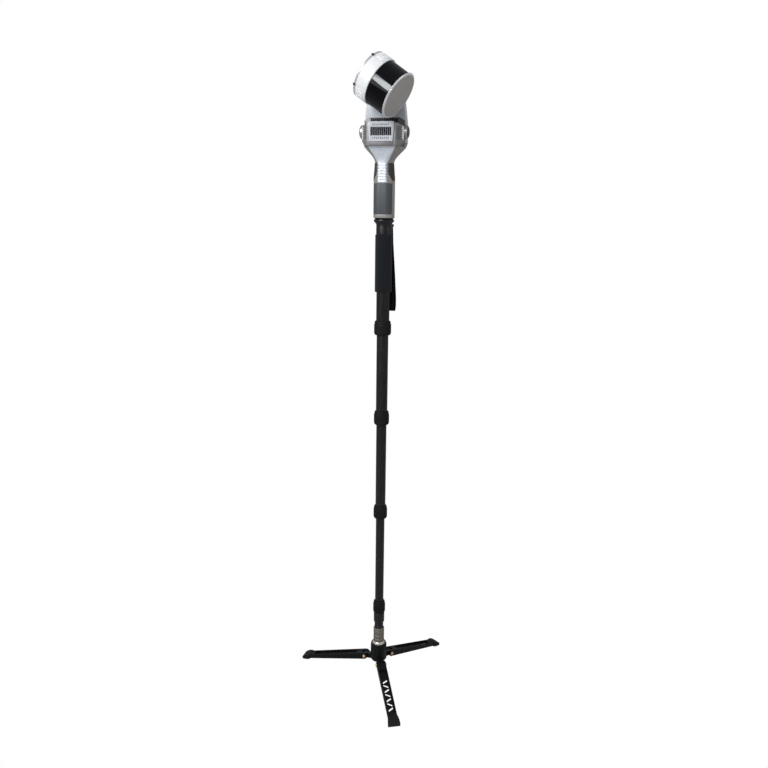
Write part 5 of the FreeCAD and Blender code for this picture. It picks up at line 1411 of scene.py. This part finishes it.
# ------------------------------------------------------------------ the scanner
@dataclass
class Scanner:
    """Grip, column and front module.

    Attributes:
        ridges: Cross ridges on the strip below the wedge.
        ridge_pitch: Distance from one ridge to the next.
        ridge_half: Half the length of a ridge.
        bars_half: Half the width of the grille's dark bars.
        fin_highlight_reach: How far the painted highlight on the outer ends of the module's fins reaches in
            from its sides.
    """

    ridges: int = 7
    ridge_pitch: float = 6.35 * MM
    ridge_half: float = 7.2 * MM
    bars_half: float = 24.2 * MM
    fin_highlight_reach: float = 3.4 * MM

    def build(self) -> None:
        """Build every piece of the scanner's body."""
        softened("shell_front", "front_housing", Look.SHELL, 0.5 * MM)
        self._rear_shell()
        softened("grip_front", "grip_panel", Look.GRIP, 0.8 * MM, 3)
        softened("grip_sides", "grip_inserts", Look.INSERT, 0.8 * MM, 3)
        self._wedge()
        self._module()
        softened("module_band", "trim_band", Look.BAND, 0.4 * MM)
        self._grille()
        self._cooler()
        self._cameras()
        self._button()

    def _wedge(self) -> None:
        """Build the silver wedge, and the soft cross ridges on the strip below it, painted near-white as
        painted highlights.
        """
        softened("silver_wedge", "front_spine", Look.SILVER, 0.45 * MM)
        low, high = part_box("front_spine")
        middle = (low.x + high.x) / 2
        spots = [vertex.co for vertex in frame["nodes"]["front_spine"].data.vertices]
        front = min(spot.y for spot in spots if spot.z < low.z + 20 * MM and abs(spot.x - middle) < 9 * MM)
        work = bmesh.new()
        tall, proud, sunk, steps = 1.5 * MM, 0.55 * MM, 0.3 * MM, 12
        section = [(-tall, sunk), (tall, sunk)]
        section += [(tall * math.cos(math.pi * step / steps), -proud * math.sin(math.pi * step / steps))
                    for step in range(steps + 1)]
        for ridge in range(self.ridges):
            height = low.z + 2.9 * MM + ridge * self.ridge_pitch
            place = Matrix(((0, 0, 1, middle), (0, 1, 0, front), (1, 0, 0, height), (0, 0, 0, 1)))
            add_prism(work, section, -self.ridge_half, self.ridge_half, place)
        # The ridges are painted near-white, painted highlights on them.
        make_piece("strip_ridges", work, Look.PAINTED_HIGHLIGHT, body_of_node("front_spine"))

    def _grille(self) -> None:
        """Build the grille: silver frame, dark bars, painted shade behind the tall slots and grey backs
        behind the slits.
        """
        piece = softened("silver_grille", "front_grille", Look.GRILLE, 0.25 * MM)
        low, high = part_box("front_grille")
        middle = (low.x + high.x) / 2
        tall = high.z - low.z
        bars = (low.z + tall * 0.30, low.z + tall * 0.735)
        slits = ((low.z + tall * 0.1, low.z + tall * 0.26), (low.z + tall * 0.77, low.z + tall * 0.93))
        paint_region(piece, Look.BARS, (middle - self.bars_half, middle + self.bars_half), bars)
        back = high.y + 0.15 * MM
        half, thick = 24.0 * MM, 0.3 * MM
        # The near-black sheet behind the tall slots is painted shade for the module's dark inside.
        for name, look, spans, depth in (("grille_shade_sheet", Look.SCREEN, (bars,), back),
                                         ("slit_backs", Look.SLIT, slits, back - 1.0 * MM)):
            work = bmesh.new()
            place = frame_of((middle, depth, 0), (0, 1, 0), (0, 0, 1))
            for start, end in spans:
                outline = soft_corners([(-half, start), (half, start), (half, end), (-half, end)], 1 * MM)
                add_prism(work, outline, -thick, thick, place)
            make_piece(name, work, look, body_of_node("front_grille"))

    @staticmethod
    def _cooler() -> None:
        """Build the cooler: black fins with a grey cheek at each end."""
        piece = softened("cooler", "heat_sink", Look.SINK, 0.3 * MM)
        low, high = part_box("front_grille")
        for side in ((-1, low.x - 1.5 * MM), (high.x + 1.5 * MM, 1)):
            paint_region(piece, Look.CHEEK, side, (0, FAR))

    def _module(self) -> None:
        """Build the module's block, with a painted highlight on the outer ends of its fins."""
        piece = softened("module_block", "module_frame", Look.MODULE, 0.35 * MM)
        low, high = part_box("module_frame")
        middle = (low.x + high.x) / 2
        reach = high.x - middle
        # Paint the outer ends of the fins near-white, a painted highlight.
        for side in (-1, 1):
            span = sorted((middle + side * (reach - self.fin_highlight_reach), middle + side * (reach + 1 * MM)))
            paint_region(piece, Look.EDGE, span, (low.z + 14.5 * MM, low.z + 43.6 * MM),
                         (low.y - 1, low.y + 23.2 * MM))

    @staticmethod
    def _rear_shell() -> None:
        """Build the rear shell: a warm grey grip with a pale painted column above the seam."""
        piece = softened("shell_rear", "rear_housing", Look.SHELL, 0.6 * MM)
        _, _, module, _ = node_spot("module_frame")
        paint_region(piece, Look.COLUMN, (-FAR, FAR), (module + 11 * MM, FAR))

    @staticmethod
    def _cameras() -> None:
        """Build both side cameras: a stepped ring with a domed lens in it."""
        low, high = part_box("camera_barrels")
        lens_low, lens_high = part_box("camera_lenses")
        middle = (low + high) / 2
        radius = (high.z - low.z) / 2
        reach = (high.x - low.x) / 2
        inside = min(abs(vertex.co.x - middle.x) for vertex in frame["nodes"]["camera_barrels"].data.vertices)
        rise = (lens_high.x - lens_low.x) / 2 - reach
        inner = (lens_high.z - lens_low.z) / 2
        ring = soft_corners([
            (0, reach - 2.2 * MM), (inner - 0.4 * MM, reach - 2.2 * MM), (inner, reach - 0.5 * MM),
            (radius - 1.9 * MM, reach), (radius - 0.5 * MM, reach - 1.4 * MM),
            (radius - 0.5 * MM, reach - 2.4 * MM), (radius, reach - 2.9 * MM),
            (radius, inside), (0, inside)], 0.35 * MM)
        lens, sunk, steps = inner - 0.2 * MM, 0.6 * MM, 12
        dome = [(0, reach - 2.0 * MM), (lens, reach - 2.0 * MM)]
        for step in range(steps):
            angle = math.pi / 2 * step / steps
            dome.append((lens * math.cos(angle), reach - sunk + (rise + sunk) * math.sin(angle)))
        dome.append((0, reach + rise))
        for name, node, look, outline in (("camera_rings", "camera_barrels", Look.BARREL, ring),
                                          ("camera_domes", "camera_lenses", Look.LENS, dome)):
            work = bmesh.new()
            for side in (1, -1):
                add_lathe(work, outline, frame_of(middle, (side, 0, 0), (0, 1, 0)))
            make_piece(name, work, look, body_of_node(node), (node,), look is Look.BARREL)

    @staticmethod
    def _button() -> None:
        """Build the power button: a dished cap with a fine ring."""
        low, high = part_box("power_button")
        middle = (low + high) / 2
        place = frame_of((middle.x, low.y, middle.z), (0, 1, 0), (0, 0, 1))
        tall = high.y - low.y
        outline = soft_corners([
            (0, 0), (6 * MM, 0), (6 * MM, 2 * MM), (5 * MM, 2 * MM), (5 * MM, tall - 0.6 * MM),
            (4.3 * MM, tall), (3.4 * MM, tall - 0.1 * MM), (2.8 * MM, tall - 0.6 * MM), (0, tall - 0.8 * MM)],
            0.3 * MM)
        work = bmesh.new()
        add_lathe(work, outline, place, 48)
        make_piece("button_cap", work, Look.BUTTON, body_of_node("power_button"), ("power_button",), True)


@dataclass
class SensorHead:
    """Turning head: disc, bracket and the laser sensor.

    Attributes:
        window_wall: Wall of the dark window.
        lid_rim: Width of the lid's rim, which is painted near-white as a painted highlight.
    """

    window_wall: float = 3 * MM
    lid_rim: float = 4.4 * MM

    def __post_init__(self) -> None:
        """Work out the sensor's own frame from its rotor's joint."""
        joint = joint_of("rotor_spin")
        self.place = frame_of(joint["pos_m"], joint["axis"], (0, 1, 0))

    def local_span(self, node: str) -> tuple[float, float, float]:
        """Return a node's reach in the sensor's frame.

        Args:
            node: The CAD node.

        Returns:
            Its lowest and highest heights and its radius.
        """
        back = self.place.inverted()
        points = [back @ vertex.co for vertex in frame["nodes"][node].data.vertices]
        heights = [point.z for point in points]
        return min(heights), max(heights), max(point.xy.length for point in points)

    def build(self) -> None:
        """Build every piece of the head."""
        softened("turning_disc", "head_shaft", Look.SHAFT, 0.5 * MM)
        self._bracket()
        softened("sensor_housing", "sensor_base", Look.SENSOR, 0.5 * MM, 3)
        self._window()
        self._cap()

    def _bracket(self) -> None:
        """Build the dark bracket, whose round plate has a pale turned edge."""
        piece = softened("bracket_arm", "sensor_bracket", Look.BRACKET, 0.6 * MM, 3)
        low, _, _ = self.local_span("sensor_bracket")
        _, _, base = self.local_span("sensor_base")
        back = self.place.inverted()

        def on_edge(spot: Vector) -> bool:
            """Say whether a point lies on the plate's edge.

            Args:
                spot: The point.

            Returns:
                Whether it does.
            """
            local = back @ spot
            return local.z < low + 4.6 * MM and base - 2.6 * MM < local.xy.length < base - 0.3 * MM

        paint_where(piece, Look.PLATE_EDGE, on_edge)

    def _window(self) -> None:
        """Build the black window with its narrow lips."""
        low, high, radius = self.local_span("sensor_window")
        wall = self.window_wall
        outline = soft_corners([
            (radius - wall, low), (radius, low), (radius, low + 1.2 * MM),
            (radius - 0.5 * MM, low + 1.8 * MM), (radius - 0.6 * MM, high - 1.8 * MM),
            (radius, high - 1.2 * MM), (radius, high),
            (radius - wall, high)], 0.25 * MM)
        work = bmesh.new()
        add_lathe(work, outline, self.place, 160)
        make_piece("window_drum", work, Look.WINDOW, body_of_node("sensor_window"), ("sensor_window",))

    def _cap(self) -> None:
        """Build the flat cap with its rounded rim, painted near-white as a painted highlight."""
        low, high, radius = self.local_span("sensor_cap")
        rim = self.lid_rim
        outline = soft_corners([
            (0, low), (radius - 0.8 * MM, low, 0.3 * MM), (radius, low + 0.6 * MM, 0.4 * MM),
            (radius - 0.2 * MM, low + 1.4 * MM, 0.6 * MM), (radius - 1.4 * MM, high - 0.9 * MM, 1.0 * MM),
            (radius - rim * 0.72, high, 1.0 * MM), (radius - rim, high - 0.2 * MM, 0.3 * MM),
            (0, high - 0.2 * MM)], 0.5 * MM, steps=6)
        work = bmesh.new()
        add_lathe(work, outline, self.place, 160)
        piece = make_piece("sensor_lid", work, Look.LID, body_of_node("sensor_cap"), ("sensor_cap",), True)
        back = self.place.inverted()
        # The rim is painted near-white all round, a painted highlight.
        paint_where(piece, Look.PAINTED_HIGHLIGHT, lambda spot: (back @ spot).xy.length > radius - rim)


# ------------------------------------------------------------------ plain nodes
PLAIN = {
    "hub_plug": Look.HUB, "ball_seat": Look.LINER,
    **{f"bush_{section}": Look.LINER for section in range(2, 6)},
    **{f"collet_{section}": Look.LINER for section in range(1, 5)},
    "mount_washer": Look.WASHER, "mount_stud": Look.STEEL, "strap_lug": Look.DARK_STEEL,
    "base_cap": Look.CAP_PLASTIC, "battery_pack": Look.BATTERY, "main_board": Look.BOARD,
    "head_bearing": Look.STEEL, "head_motor": Look.MOTOR, "sensor_rotor": Look.ROTOR,
    "sensor_spindle": Look.STEEL,
}


def finish_plain_nodes() -> None:
    """Give the CAD nodes that stay in view their materials."""
    for node, look in PLAIN.items():
        mesh = frame["nodes"][node].data
        mesh.materials.clear()
        mesh.materials.append(BOOK.get(look))
        for polygon in mesh.polygons:
            polygon.material_index = 0


def main() -> None:
    """Build the scene."""
    logging.basicConfig(level=logging.INFO)
    pole, _, _, _ = node_spot("tube_1")
    foot = Vector((pole.x, pole.y, 0))
    Studio(foot, CAD_BOX[1][2]).build()
    finish_plain_nodes()
    for part in (Pole(), Base(foot), PoleTop(), Scanner(), SensorHead()):
        part.build()
        LOG.info("%s is built", type(part).__name__)


if __name__ == "__main__":
    main()
